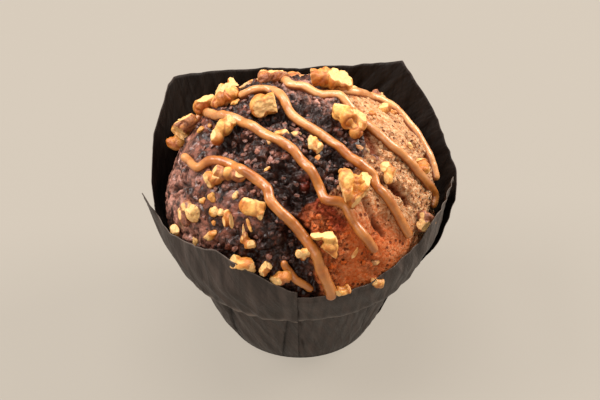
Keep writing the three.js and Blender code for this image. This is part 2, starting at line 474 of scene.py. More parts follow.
def grain_group() -> bpy.types.NodeTree:
    """Gives the group for fine grain, which every finish uses.

    Returns:
        The group's tree, made the first time it is asked for.
    """
    if "grain" in bpy.data.node_groups:
        return bpy.data.node_groups["grain"]
    inputs = {"Waves per metre": 500.0, "Seed": 0.0, "Detail": 4.0, "Harshness": 0.6}
    sheet, given, out = new_group("grain", inputs, "Grain")
    place = sheet.add("TexCoord").outputs["Object"]
    texture = sheet.add("TexNoise", {
        "Vector": place, "W": given.outputs["Seed"], "Scale": given.outputs["Waves per metre"],
        "Detail": given.outputs["Detail"], "Roughness": given.outputs["Harshness"],
    }, noise_dimensions="4D")
    sheet.tree.links.new(texture.outputs[0], out.inputs["Grain"])
    return sheet.tree


def pore_group() -> bpy.types.NodeTree:
    """Gives the group for scattered round pores, on crumb and nuts.

    Returns:
        The group's tree, made the first time it is asked for.
    """
    if "pores" in bpy.data.node_groups:
        return bpy.data.node_groups["pores"]
    inputs = {"Cells per metre": 500.0, "Size": 0.3, "Share": 0.5, "Seed": 0.0}
    sheet, given, out = new_group("pores", inputs, "Pore")
    place = sheet.add("TexCoord").outputs["Object"]
    texture = sheet.add("TexVoronoi", {
        "Vector": place, "W": given.outputs["Seed"], "Scale": given.outputs["Cells per metre"],
    }, voronoi_dimensions="4D")
    chosen = sheet.add("SeparateColor", {0: texture.outputs["Color"]}).outputs[0]
    kept = sheet.math("LESS_THAN", chosen, given.outputs["Share"])
    ratio = sheet.math("DIVIDE", texture.outputs["Distance"], given.outputs["Size"])
    inside = sheet.between(ratio, 0.6, 1.0, 1.0, 0.0)
    sheet.tree.links.new(sheet.math("MULTIPLY", inside, kept), out.inputs["Pore"])
    return sheet.tree


class Finish:
    """A procedural material, built once."""

    def __init__(self, name: str) -> None:
        """Starts a material with one principled shader.

        Args:
            name: The material's name.
        """
        self.material = bpy.data.materials.new(name)
        self.material.use_nodes = True
        self.material.node_tree.nodes.clear()
        self.sheet = Sheet(self.material.node_tree)
        self.shader = self.sheet.add("BsdfPrincipled")
        self.sheet.add("OutputMaterial", {"Surface": self.shader.outputs[0]})

    def set(self, **values: object) -> None:
        """Sets the shader's inputs; an underscore stands for a space.

        Args:
            values: Numbers, colours or sockets, by input name.
        """
        for name, value in values.items():
            self.sheet.feed(self.shader.inputs[name.replace("_", " ")], value)

    def dress(self, obj: bpy.types.Object) -> None:
        """Puts the material on an object, in place of any other."""
        obj.data.materials.clear()
        obj.data.materials.append(self.material)


# ---------------------------------------------------------------- finishes


@dataclass(frozen=True)
class CrumbColours:
    """The two batters' colours, linear."""

    # The cocoa's darkest tone, also the colour of the painted shade in its pores and hollows.
    cocoa_dark_and_shade: Colour = (0.018, 0.004, 0.0015)
    cocoa: Colour = (0.215, 0.058, 0.030)
    # Pale crust, partly its own colour and partly painted sheen.
    cocoa_pale_and_sheen: Colour = (0.64, 0.31, 0.23)
    gold: Colour = (0.45, 0.165, 0.052)
    gold_pale: Colour = (0.67, 0.43, 0.24)
    gold_baked: Colour = (0.47, 0.062, 0.004)
    gold_rust: Colour = (0.50, 0.112, 0.020)
    # Painted shade in the golden batter's pores, gaps between granules and hollows.
    gold_shade: Colour = (0.17, 0.034, 0.010)
    red: Colour = (0.25, 0.026, 0.008)


def crumb_finish(colours: CrumbColours) -> Finish:
    """Makes the baked crumb: cocoa and golden batter, told apart by the piece's own marbling.

    Args:
        colours: The batters' colours.

    Returns:
        The finish.
    """
    finish = Finish("baked_crumb")
    sheet = finish.sheet
    golden, torn, painted_hollow_shade, baked, moist, pale_crust_and_sheen = (
        sheet.painted(name) for name in ("golden", "torn", "painted_hollow_shade", "baked", "moist", "pale_crust_and_sheen"))
    coarse = sheet.speckle(300.0, 1.0)
    fine = sheet.speckle(1000.0, 2.0, 5.0, 0.7)
    pores = sheet.pits(560.0, 0.36, 0.8, 3.0)
    granules = sheet.pits(900.0, 0.9, 1.1, 6.0)
    # Patches of pale crust, partly the crust's own paleness and partly painted sheen.
    pale_speckle = sheet.between(sheet.math("ADD", coarse, sheet.math("MULTIPLY", fine, 0.4)), 0.52, 0.95)
    sheen = sheet.math("MULTIPLY", sheet.math("SUBTRACT", 1.0, golden), 0.20)
    sheen = sheet.math("ADD", sheen, sheet.math("MULTIPLY", sheen, sheet.math("SUBTRACT", 1.8, torn)))
    shaded = sheet.math("SUBTRACT", coarse, sheet.math("MULTIPLY", torn, 0.09))
    cocoa = sheet.blend(sheet.between(shaded, 0.38, 0.64), colours.cocoa_dark_and_shade, colours.cocoa)
    cocoa = sheet.blend(sheet.math("MULTIPLY", pale_speckle, pale_crust_and_sheen), cocoa, colours.cocoa_pale_and_sheen)
    # painted shade in the cocoa's pores
    cocoa = sheet.blend(sheet.math("MULTIPLY", pores, 0.7), cocoa, colours.cocoa_dark_and_shade)
    gold = sheet.blend(sheet.between(fine, 0.40, 0.62), colours.gold, colours.gold_pale)
    rusty = sheet.blend(sheet.between(fine, 0.36, 0.66), colours.gold_baked, colours.gold_rust)
    gold = sheet.blend(baked, gold, rusty)
    # painted shade in the gaps between granules and in the golden batter's pores
    gaps = sheet.math("MULTIPLY", sheet.math("SUBTRACT", 1.0, granules), torn)
    gold = sheet.blend(sheet.math("MAXIMUM", pores, sheet.math("MULTIPLY", gaps, 0.75)), gold,
                       colours.gold_shade)
    mixed = sheet.blend(golden, cocoa, gold)
    mixed = sheet.blend(sheet.math("MULTIPLY", moist, 0.85), mixed, colours.red)
    # painted shade: the low places and hollows, from the piece's own mask, are darkened
    dim = sheet.blend(golden, colours.cocoa_dark_and_shade, colours.gold_shade)
    mixed = sheet.blend(painted_hollow_shade, mixed, dim)
    height = sheet.math("ADD", sheet.math("MULTIPLY", fine, 0.6), coarse)
    height = sheet.math("SUBTRACT", height, sheet.math("MULTIPLY", pores, 0.8))
    height = sheet.math("ADD", height, sheet.math("MULTIPLY", granules, 0.3))
    height = sheet.math("MULTIPLY", height, sheet.math("ADD", 0.6, sheet.math("MULTIPLY", torn, 0.4)))
    finish.set(
        Base_Color=mixed, Roughness=sheet.between(fine, 0.35, 0.7, 0.34, 0.70),
        Normal=sheet.bumps(height, 1.1, 1.0), Subsurface_Weight=0.05, Subsurface_Scale=0.001,
        Specular_IOR_Level=0.12, Coat_Weight=sheen, Coat_Roughness=0.29)
    return finish


def caramel_finish() -> Finish:
    """Makes the set caramel: glossy, warm and a little see-through.

    Returns:
        The finish. It reads the painted shade on each strand's sides and underside, and the painted light
        that makes the upper stretches paler.
    """
    finish = Finish("set_caramel")
    sheet = finish.sheet
    cloudy = sheet.speckle(160.0, 5.0, 3.0)
    fine = sheet.speckle(900.0, 6.0)
    mix = sheet.between(cloudy, 0.35, 0.65)
    # A darker and a paler copy of the caramel, blended by painted light: paler towards the back and top of
    # the dome.
    deep = sheet.blend(mix, (0.34, 0.092, 0.010), (0.50, 0.178, 0.034))
    painted_top_light = sheet.blend(mix, (0.48, 0.175, 0.040), (0.70, 0.335, 0.125))
    colour = sheet.blend(sheet.painted("painted_top_light"), deep, painted_top_light)
    # painted shade: darker on the strand's sides and underside
    colour = sheet.blend(sheet.painted("painted_side_shade"), colour, (0.20, 0.042, 0.004))
    finish.set(
        Base_Color=colour, Roughness=sheet.between(fine, 0.3, 0.7, 0.30, 0.46),
        Normal=sheet.bumps(sheet.math("ADD", cloudy, sheet.math("MULTIPLY", fine, 0.15)), 0.45),
        Subsurface_Weight=0.08, Subsurface_Scale=0.001, Subsurface_Radius=(1.0, 0.45, 0.2),
        Coat_Weight=0.55, Coat_Roughness=0.27)
    return finish


def walnut_finish() -> Finish:
    """Makes walnut: cream flesh, orange in its folds, darker on one side with painted shade, and brown skin
    where it is left on.

    Returns:
        The finish. It reads the folds with their painted shade, the skin, and where a piece is broken.
    """
    finish = Finish("walnut")
    sheet = finish.sheet
    fold_and_shade, skin, broken = (sheet.painted(name) for name in ("fold_and_shade", "skin", "broken"))
    cloudy = sheet.speckle(230.0, 8.0, 3.0)
    fine = sheet.speckle(1300.0, 9.0)
    flesh = sheet.blend(sheet.between(cloudy, 0.40, 0.60), (0.50, 0.155, 0.015), (0.74, 0.37, 0.088))
    flesh = sheet.blend(sheet.math("MULTIPLY", broken, 0.9), flesh, (0.78, 0.47, 0.18))
    # the nut's darker folds, with painted shade in the folds and on one side
    flesh = sheet.blend(fold_and_shade, flesh, (0.34, 0.078, 0.008))
    husk = sheet.blend(sheet.between(fine, 0.35, 0.65), (0.12, 0.030, 0.012), (0.36, 0.125, 0.055))
    specks = sheet.pits(1300.0, 0.28, 0.3, 4.0)
    colour = sheet.blend(skin, flesh, husk)
    colour = sheet.blend(sheet.math("MULTIPLY", specks, 0.45), colour, (0.42, 0.13, 0.03))
    height = sheet.math("ADD", cloudy, sheet.math("MULTIPLY", fine, 0.5))
    height = sheet.math("SUBTRACT", height, sheet.math("MULTIPLY", specks, 0.4))
    finish.set(
        Base_Color=colour, Roughness=sheet.between(fine, 0.3, 0.7, 0.36, 0.6),
        Normal=sheet.bumps(height, 0.55, 0.9), Subsurface_Weight=0.10, Subsurface_Scale=0.0012,
        Subsurface_Radius=(1.0, 0.45, 0.15))
    return finish


@dataclass(frozen=True)
class PaperColours:
    """One side of the paper: its shadows, its lit fibres, its crease lines lightened by wear and painted
    highlight, and its gloss.
    """

    name: str
    dark: Colour
    light: Colour
    wear_and_highlight: Colour
    gloss: float


PAPER_OUTSIDE = PaperColours(
    "paper_outside", (0.030, 0.0215, 0.0175), (0.072, 0.051, 0.042), (0.25, 0.185, 0.15), 0.30)
# The petals' inner faces: a much darker copy of the paper, partly its own darker side and partly painted
# shade.
PAPER_INSIDE_SHADED = PaperColours(
    "paper_inside_shaded", (0.006, 0.004, 0.0032), (0.014, 0.010, 0.008), (0.05, 0.035, 0.028), 0.12)


def paper_finish(colours: PaperColours) -> Finish:
    """Makes the dark greaseproof paper, with fine streaks that follow its creases.

    Args:
        colours: One side's colours and gloss.

    Returns:
        The finish.
    """
    finish = Finish(colours.name)
    sheet = finish.sheet
    place = sheet.add("UVMap", uv_map="sheet").outputs["UV"]
    turned = sheet.add("Mapping", {"Vector": place, "Rotation": (0.0, 0.0, -0.45)}).outputs[0]
    slanted = sheet.add("Mapping", {"Vector": turned, "Scale": (1.0, 0.16, 1.0)}).outputs[0]
    upright = sheet.add("Mapping", {"Vector": place, "Scale": (1.0, 0.12, 1.0)}).outputs[0]
    streaks = sheet.add("TexNoise", {
        "Vector": slanted, "Scale": 520.0, "Detail": 6.0, "Roughness": 0.6}).outputs[0]
    creases = sheet.add("TexNoise", {
        "Vector": upright, "Scale": 240.0, "Detail": 3.0, "Roughness": 0.5}).outputs[0]
    ridge = sheet.math("ABSOLUTE", sheet.math("SUBTRACT", creases, 0.5))
    fine = sheet.speckle(2400.0, 11.0)
    wear_and_highlight = sheet.painted("wear_and_highlight")
    shade = sheet.between(sheet.math("ADD", streaks, sheet.math("MULTIPLY", ridge, 1.5)), 0.40, 0.90)
    colour = sheet.blend(shade, colours.dark, colours.light)
    # partly wear, partly painted highlight: light lines along the hem and the rim's edge
    colour = sheet.blend(wear_and_highlight, colour, colours.wear_and_highlight)
    # painted shadow: near-black just under the hem and beside the slits
    colour = sheet.blend(sheet.math("MULTIPLY", sheet.painted("painted_fold_shadow"), 0.95), colour, (0.004, 0.003, 0.002))
    height = sheet.math("SUBTRACT", streaks, sheet.math("MULTIPLY", ridge, 2.2))
    height = sheet.math("ADD", height, sheet.math("MULTIPLY", fine, 0.12))
    finish.set(
        Base_Color=colour, Roughness=sheet.between(streaks, 0.3, 0.7, 0.46, 0.64),
        Normal=sheet.bumps(height, 0.9, 0.9), Specular_IOR_Level=colours.gloss)
    return finish


# ---------------------------------------------------------------- the muffin


@dataclass
class Muffin:
    """The baked crumb: two batters, cracked plates of crust and torn, crumbly stretches between."""

    dome: Dome
    voxel: float = 0.975
    fine_from: float = -2.0
    lumps: float = 0.9
    # where the golden batter starts, as north and east in degrees, from the front to the back
    border: Sequence[Point] = (
        (-100, 14), (-83, 10), (-74, 6), (-66, 8), (-60, 5), (-55, -1), (-49, 1), (-45, 9),
        (-41, 17), (-36, 20), (-28, 26), (-20, 28), (-10, 26), (0, 22), (8, 19), (17, 13),
        (40, 9), (70, 4), (100, 0))
    # cracks and gashes: a route over the dome, a width and a depth in millimetres
    cracks: Sequence[tuple[Sequence[Point], float, float]] = (
        (((-54, -9), (-57, -15), (-59, -20), (-65, -19), (-72, -14)), 1.1, 2.0),
        (((-12, -5), (-2, -10), (6, -16), (12, -24), (17, -31), (22, -36)), 3.4, 2.6),
        (((-7, -36), (-3, -43), (0, -50), (-2, -58), (-6, -66)), 2.6, 2.2),
        (((33, -33), (40, -31), (47, -31), (55, -33)), 1.3, 2.2),
        (((22, 6), (24, -2), (29, -10), (33, -18)), 1.8, 2.0),
        (((52, 6), (58, 4), (63, -2), (70, -3)), 1.2, 1.8),
        (((-34, -12), (-30, -16), (-26, -19)), 2.2, 2.2),
        (((-40, 4), (-36, 0), (-33, -4)), 2.0, 1.8),
        (((-30, 66), (-10, 58), (12, 62), (30, 50)), 1.8, 2.0),
        (((30, 80), (44, 62), (50, 40)), 1.4, 1.6),
        (((28, -40), (33, -47), (38, -52), (44, -55)), 0.9, 1.3),
    )
    # where the cocoa is open and deep, sunk in and darkened with painted shade: a route and a width in
    # millimetres
    hollows: Sequence[tuple[Sequence[Point], float]] = (
        (((-5, 0), (5, -10), (12, -23), (18, -34), (10, -42), (1, -46)), 5.0),
        (((-41, -5), (-32, -17), (-24, -20)), 3.0),
        (((-22, -68), (-12, -74), (-2, -78), (9, -86)), 5.0))
    # the moist seam, with its width in millimetres, and the flaky stretch at the top, made paler partly with
    # painted light
    seam: Sequence[Point] = ((3, -40), (7, -47), (13, -51), (19, -56))
    seam_width: float = 3.0
    flaky: Sequence[Point] = ((-6, 22), (2, 17), (8, 8), (14, 2))
    # how far the foot is drawn in, and the dip at the crease: depth, height, spread in millimetres
    foot: float = 1.8
    dip: tuple[float, float, float] = (2.4, 31.5, 2.5)
    hollow_depth: float = 1.1

    def edge(self, north: np.ndarray) -> np.ndarray:
        """Gives how far east the golden batter starts, in degrees."""
        return np.interp(north, [at for at, _ in self.border], [edge for _, edge in self.border])

    def golden(self, points: np.ndarray, east: np.ndarray, north: np.ndarray) -> np.ndarray:
        """Gives the share of golden batter at each place."""
        swirl = 4.0 * wavy(points, 7.0, 3.1) + 2.5 * wavy(points, 2.5, 8.2)
        return ramp(east - self.edge(north) + swirl, -1.8, 1.8)

    def baked(self, north: np.ndarray) -> np.ndarray:
        """Gives how dark the golden batter is baked, low at the front."""
        return ramp(-north, 34.0, 60.0)

    def torn(self, points: np.ndarray, east: np.ndarray, north: np.ndarray) -> np.ndarray:
        """Gives how torn and crumbly the top is at each place, from crust at 0.

        Args:
            points: The places, in metres.
            east: Their degrees east.
            north: Their degrees north.

        Returns:
            One value for each place, from 0 to 1.
        """
        middle = ramp(east + 0.35 * north, -44.0, -34.0) * ramp(-east, -30.0, -18.0)
        right = ramp(east, 22.0, 30.0) * ramp(north, -44.0, -30.0) * ramp(-north, -6.0, 4.0)
        far = ramp(east, 50.0, 60.0) * ramp(north, -30.0, -20.0)
        low = ramp(-north, 54.0, 64.0) * ramp(-east, 0.0, 10.0)
        patches = ramp(wavy(points, 11.0, 5.5), 0.12, 0.40) * 0.6
        spread = np.maximum.reduce([middle, right * 0.75, far * 0.8, low, patches])
        return np.clip(spread, 0.0, 1.0)

    def relief(self, points: np.ndarray, fields: dict[str, np.ndarray]) -> np.ndarray:
        """Works out how far the top stands proud of the plain dome, in millimetres.

        Args:
            points: The places, in metres.
            fields: Their east, north, golden and torn values.

        Returns:
            One height for each place.
        """
        east, north, golden, torn = (fields[k] for k in ("east", "north", "golden", "torn"))
        broad = self.lumps * wavy(points, 13.0) + 0.5 * wavy(points, 6.0, 2.0)
        bent = points + 0.5 * MM * np.stack([wavy(points, 2.0, k) for k in (3.0, 13.0, 23.0)], axis=1)
        clod, clod_gap = grains(bent, 3.4, 4.0)
        bit, bit_gap = grains(bent, 1.5, 9.0)
        clods = 2.3 * (clod - 0.5) + 0.9 * ramp(clod_gap, 0.0, 0.35)
        bits = 1.0 * (bit - 0.5) + 0.4 * ramp(bit_gap, 0.0, 0.4)
        grit = 0.22 * wavy(points, 0.9, 9.0)
        hole, hole_gap = grains(bent, 6.5, 17.0)
        holes = 2.2 * ramp(hole, 0.62, 0.70) * ramp(hole_gap, 0.25, 0.6)
        plate, plate_gap = grains(bent, 8.0, 30.0)
        crust = 0.6 * (plate - 0.5) + 0.3 * wavy(points, 3.4, 7.0) + 0.14 * wavy(points, 1.3, 1.0)
        split = ramp(-plate_gap, -0.13, -0.03) * ramp(wavy(points, 6.0, 6.0), -0.3, 0.0)
        rough = torn * (1 - 0.35 * golden)
        loose = clods + bits + grit - holes - 0.9
        height = broad - 0.2 + rough * loose + (1 - rough) * (crust - 0.8 * split * (1 - golden))
        for route, width, depth in self.cracks:
            spread = math.degrees(width * MM / self.dome.radius)
            ragged = distance_to(route, east, north) * (1 + 0.35 * wavy(points, 2.4, 12.0))
            height = height - depth * ramp(-ragged, -1.9 * spread, -0.45 * spread)
        return height

    def pale_crust_and_sheen(self, torn: np.ndarray, east: np.ndarray, north: np.ndarray) -> np.ndarray:
        """Gives how pale the cocoa's crust is: its own pale plates, with painted sheen towards -X, and the
        flaky top, partly painted light.

        Args:
            torn: How torn each place is.
            east: Its degrees east.
            north: Its degrees north.

        Returns:
            One value for each place, from 0 to 1.
        """
        away = distance_to(self.flaky, east, north)
        # partly painted light: the flaky top is made paler
        flakes_and_top_light = ramp(-away, -9.0, -5.0)
        # painted sheen: the plates grow paler towards the -X side, where the light falls
        plates_and_left_sheen = (1 - 0.85 * torn) * (0.16 + 0.72 * ramp(-east, 46.0, 62.0))
        return np.clip(np.maximum(plates_and_left_sheen, flakes_and_top_light), 0.0, 1.0)

    def deep(self, points: np.ndarray, fields: dict[str, np.ndarray]) -> np.ndarray:
        """Gives how far inside one of the hollows, sunk in and darkened with painted shade, each place is.

        Args:
            points: The places, in metres.
            fields: Their east, north and golden values.

        Returns:
            One value for each place, from 0 to 1.
        """
        inside = np.zeros(len(points))
        for route, width in self.hollows:
            spread = math.degrees(width * MM / self.dome.radius)
            away = distance_to(route, fields["east"], fields["north"]) + 2.5 * wavy(points, 5.0, 40.0)
            inside = np.maximum(inside, ramp(-away, -1.5 * spread, -0.3 * spread))
        return inside * (1 - fields["golden"])

    def moist(self, points: np.ndarray, east: np.ndarray, north: np.ndarray) -> np.ndarray:
        """Gives where the golden batter is dark red and moist, along its seam with the cocoa.

        Args:
            points: The places, in metres.
            east: Their degrees east.
            north: Their degrees north.

        Returns:
            One value for each place, from 0 to 1.
        """
        spread = math.degrees(self.seam_width * MM / self.dome.radius)
        away = distance_to(self.seam, east, north) * (1 + 0.4 * wavy(points, 3.0, 31.0))
        return ramp(-away, -1.5 * spread, -0.3 * spread)

    def build(self) -> bpy.types.Object:
        """Makes the crumb from the CAD solid: remeshed, its top made fine, then broken up.

        Returns:
            The muffin, with what its finish reads stored as attributes.
        """
        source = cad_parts["muffin_crumb"]
        obj = source.copy()
        obj.data = source.data.copy()
        obj.name = "baked_muffin"
        bpy.context.collection.objects.link(obj)
        only(obj)
        bpy.ops.object.mode_set(mode="EDIT")
        bpy.ops.mesh.select_all(action="SELECT")
        bpy.ops.mesh.remove_doubles(threshold=0.01 * MM)
        bpy.ops.object.mode_set(mode="OBJECT")
        modify(obj, "REMESH", mode="VOXEL", voxel_size=self.voxel * MM)
        modify(obj, "SMOOTH", factor=0.5, iterations=12)
        self.refine_top(obj)
        points, normals = points_of(obj), normals_of(obj)
        east, north = self.dome.chart(points)
        fields = {"east": east, "north": north}
        fields["golden"] = self.golden(points, east, north)
        fields["torn"] = self.torn(points, east, north)
        deep = self.deep(points, fields)
        height = self.relief(points, fields) - self.hollow_depth * deep
        tilt = np.hypot(east, north)
        top = ramp(-tilt, -100.0, -88.0)
        shaped = points + normals * (height * top * MM)[:, None]
        move_points(obj, self.clear_of_case(shaped))
        paint(obj, "golden", fields["golden"])
        paint(obj, "torn", fields["torn"])
        # painted shade: darker in the low places of the relief and in the hollows
        paint(obj, "painted_hollow_shade", np.maximum(ramp(-height, 0.3, 2.8), 0.62 * deep))
        paint(obj, "baked", self.baked(north) * (0.85 + 0.3 * wavy(points, 8.0, 20.0)))
        paint(obj, "moist", self.moist(points, east, north))
        paint(obj, "pale_crust_and_sheen", self.pale_crust_and_sheen(fields["torn"], east, north))
        smooth(obj)
        return obj

    def clear_of_case(self, points: np.ndarray) -> np.ndarray:
        """Draws the foot in from the paper, most of all at the crease, where the case is tucked in.

        Args:
            points: The muffin's vertices, in metres.

        Returns:
            The vertices, drawn in where they are low.
        """
        height = points[:, 2] / MM
        depth, at, spread = self.dip
        drawn = self.foot * ramp(-height, -37.0, -33.0)
        drawn += depth * np.exp(-(((height - at) / spread) ** 2))
        reach = np.maximum(np.hypot(points[:, 0], points[:, 1]), 6 * MM)
        share = 1 - drawn * MM / reach
        return points * np.stack([share, share, np.ones(len(points))], axis=1)

    def refine_top(self, obj: bpy.types.Object) -> None:
        """Splits the faces of the part of the crumb that shows, once each way.

        Args:
            obj: The muffin.
        """
        only(obj)
        bpy.ops.object.mode_set(mode="EDIT")
        bpy.ops.mesh.select_all(action="DESELECT")
        bpy.ops.object.mode_set(mode="OBJECT")
        floor = self.dome.level + self.fine_from * MM
        heights = [face.center.z > floor for face in obj.data.polygons]
        obj.data.polygons.foreach_set("select", heights)
        bpy.ops.object.mode_set(mode="EDIT")
        bpy.ops.mesh.select_mode(type="FACE")
        bpy.ops.mesh.subdivide(number_cuts=1)
        bpy.ops.object.mode_set(mode="OBJECT")


# ---------------------------------------------------------------- walnuts


class Cut(Enum):
    """How a walnut piece was broken: how many flat faces it has, and how deep its folds are."""

    LOBED = (3, 0.5)
    CHUNK = (6, 0.25)
    PLATE = (4, 0.2)
    KNOB = PLATE

    @property
    def faces(self) -> int:
        """The number of flat broken faces."""
        return self.value[0]

    @property
    def fold_depth(self) -> float:
        """The depth of the folds, in millimetres."""
        return self.value[1]


# A lobe of a piece, in millimetres: its middle (east, north, out) and its three radii.
Lobe = tuple[float, float, float, float, float, float]


@dataclass(frozen=True)
class Walnut:
    """One walnut piece: its sizes in millimetres, its turn in degrees from east, its share of skin,
    how far it is raised, how much it is scaled, how far it is moved, and its lobes.
    """

    number: int
    cut: Cut
    length: float
    width: float
    height: float
    turn: float = 0.0
    skin: float = 0.0
    raised: float = 0.0
    scale: float = 1.0
    nudge: Point = (0.0, 0.0)
    lobes: tuple[Lobe, ...] = ()

    @property
    def node(self) -> str:
        """The CAD node that this piece stands for."""
        return f"walnut_piece_{self.number}"

    def own_lobes(self) -> list[Lobe]:
        """Gives the piece's lobes, or makes some up in its own sizes where none are given.

        Returns:
            The lobes, before the piece is scaled.
        """
        if self.lobes:
            return list(self.lobes)
        rng = random.Random(self.number * 11 + 3)
        count = 3 if self.length < 8 else 5
        lobes = []
        for i in range(count):
            along_it = (i + 0.5) / count - 0.5
            lobes.append((
                self.length * along_it * 0.9, self.width * rng.uniform(-0.2, 0.2),
                self.height * rng.uniform(-0.1, 0.1), self.length * rng.uniform(0.2, 0.27),
                self.width * rng.uniform(0.32, 0.48), self.height * rng.uniform(0.4, 0.5)))
        return lobes


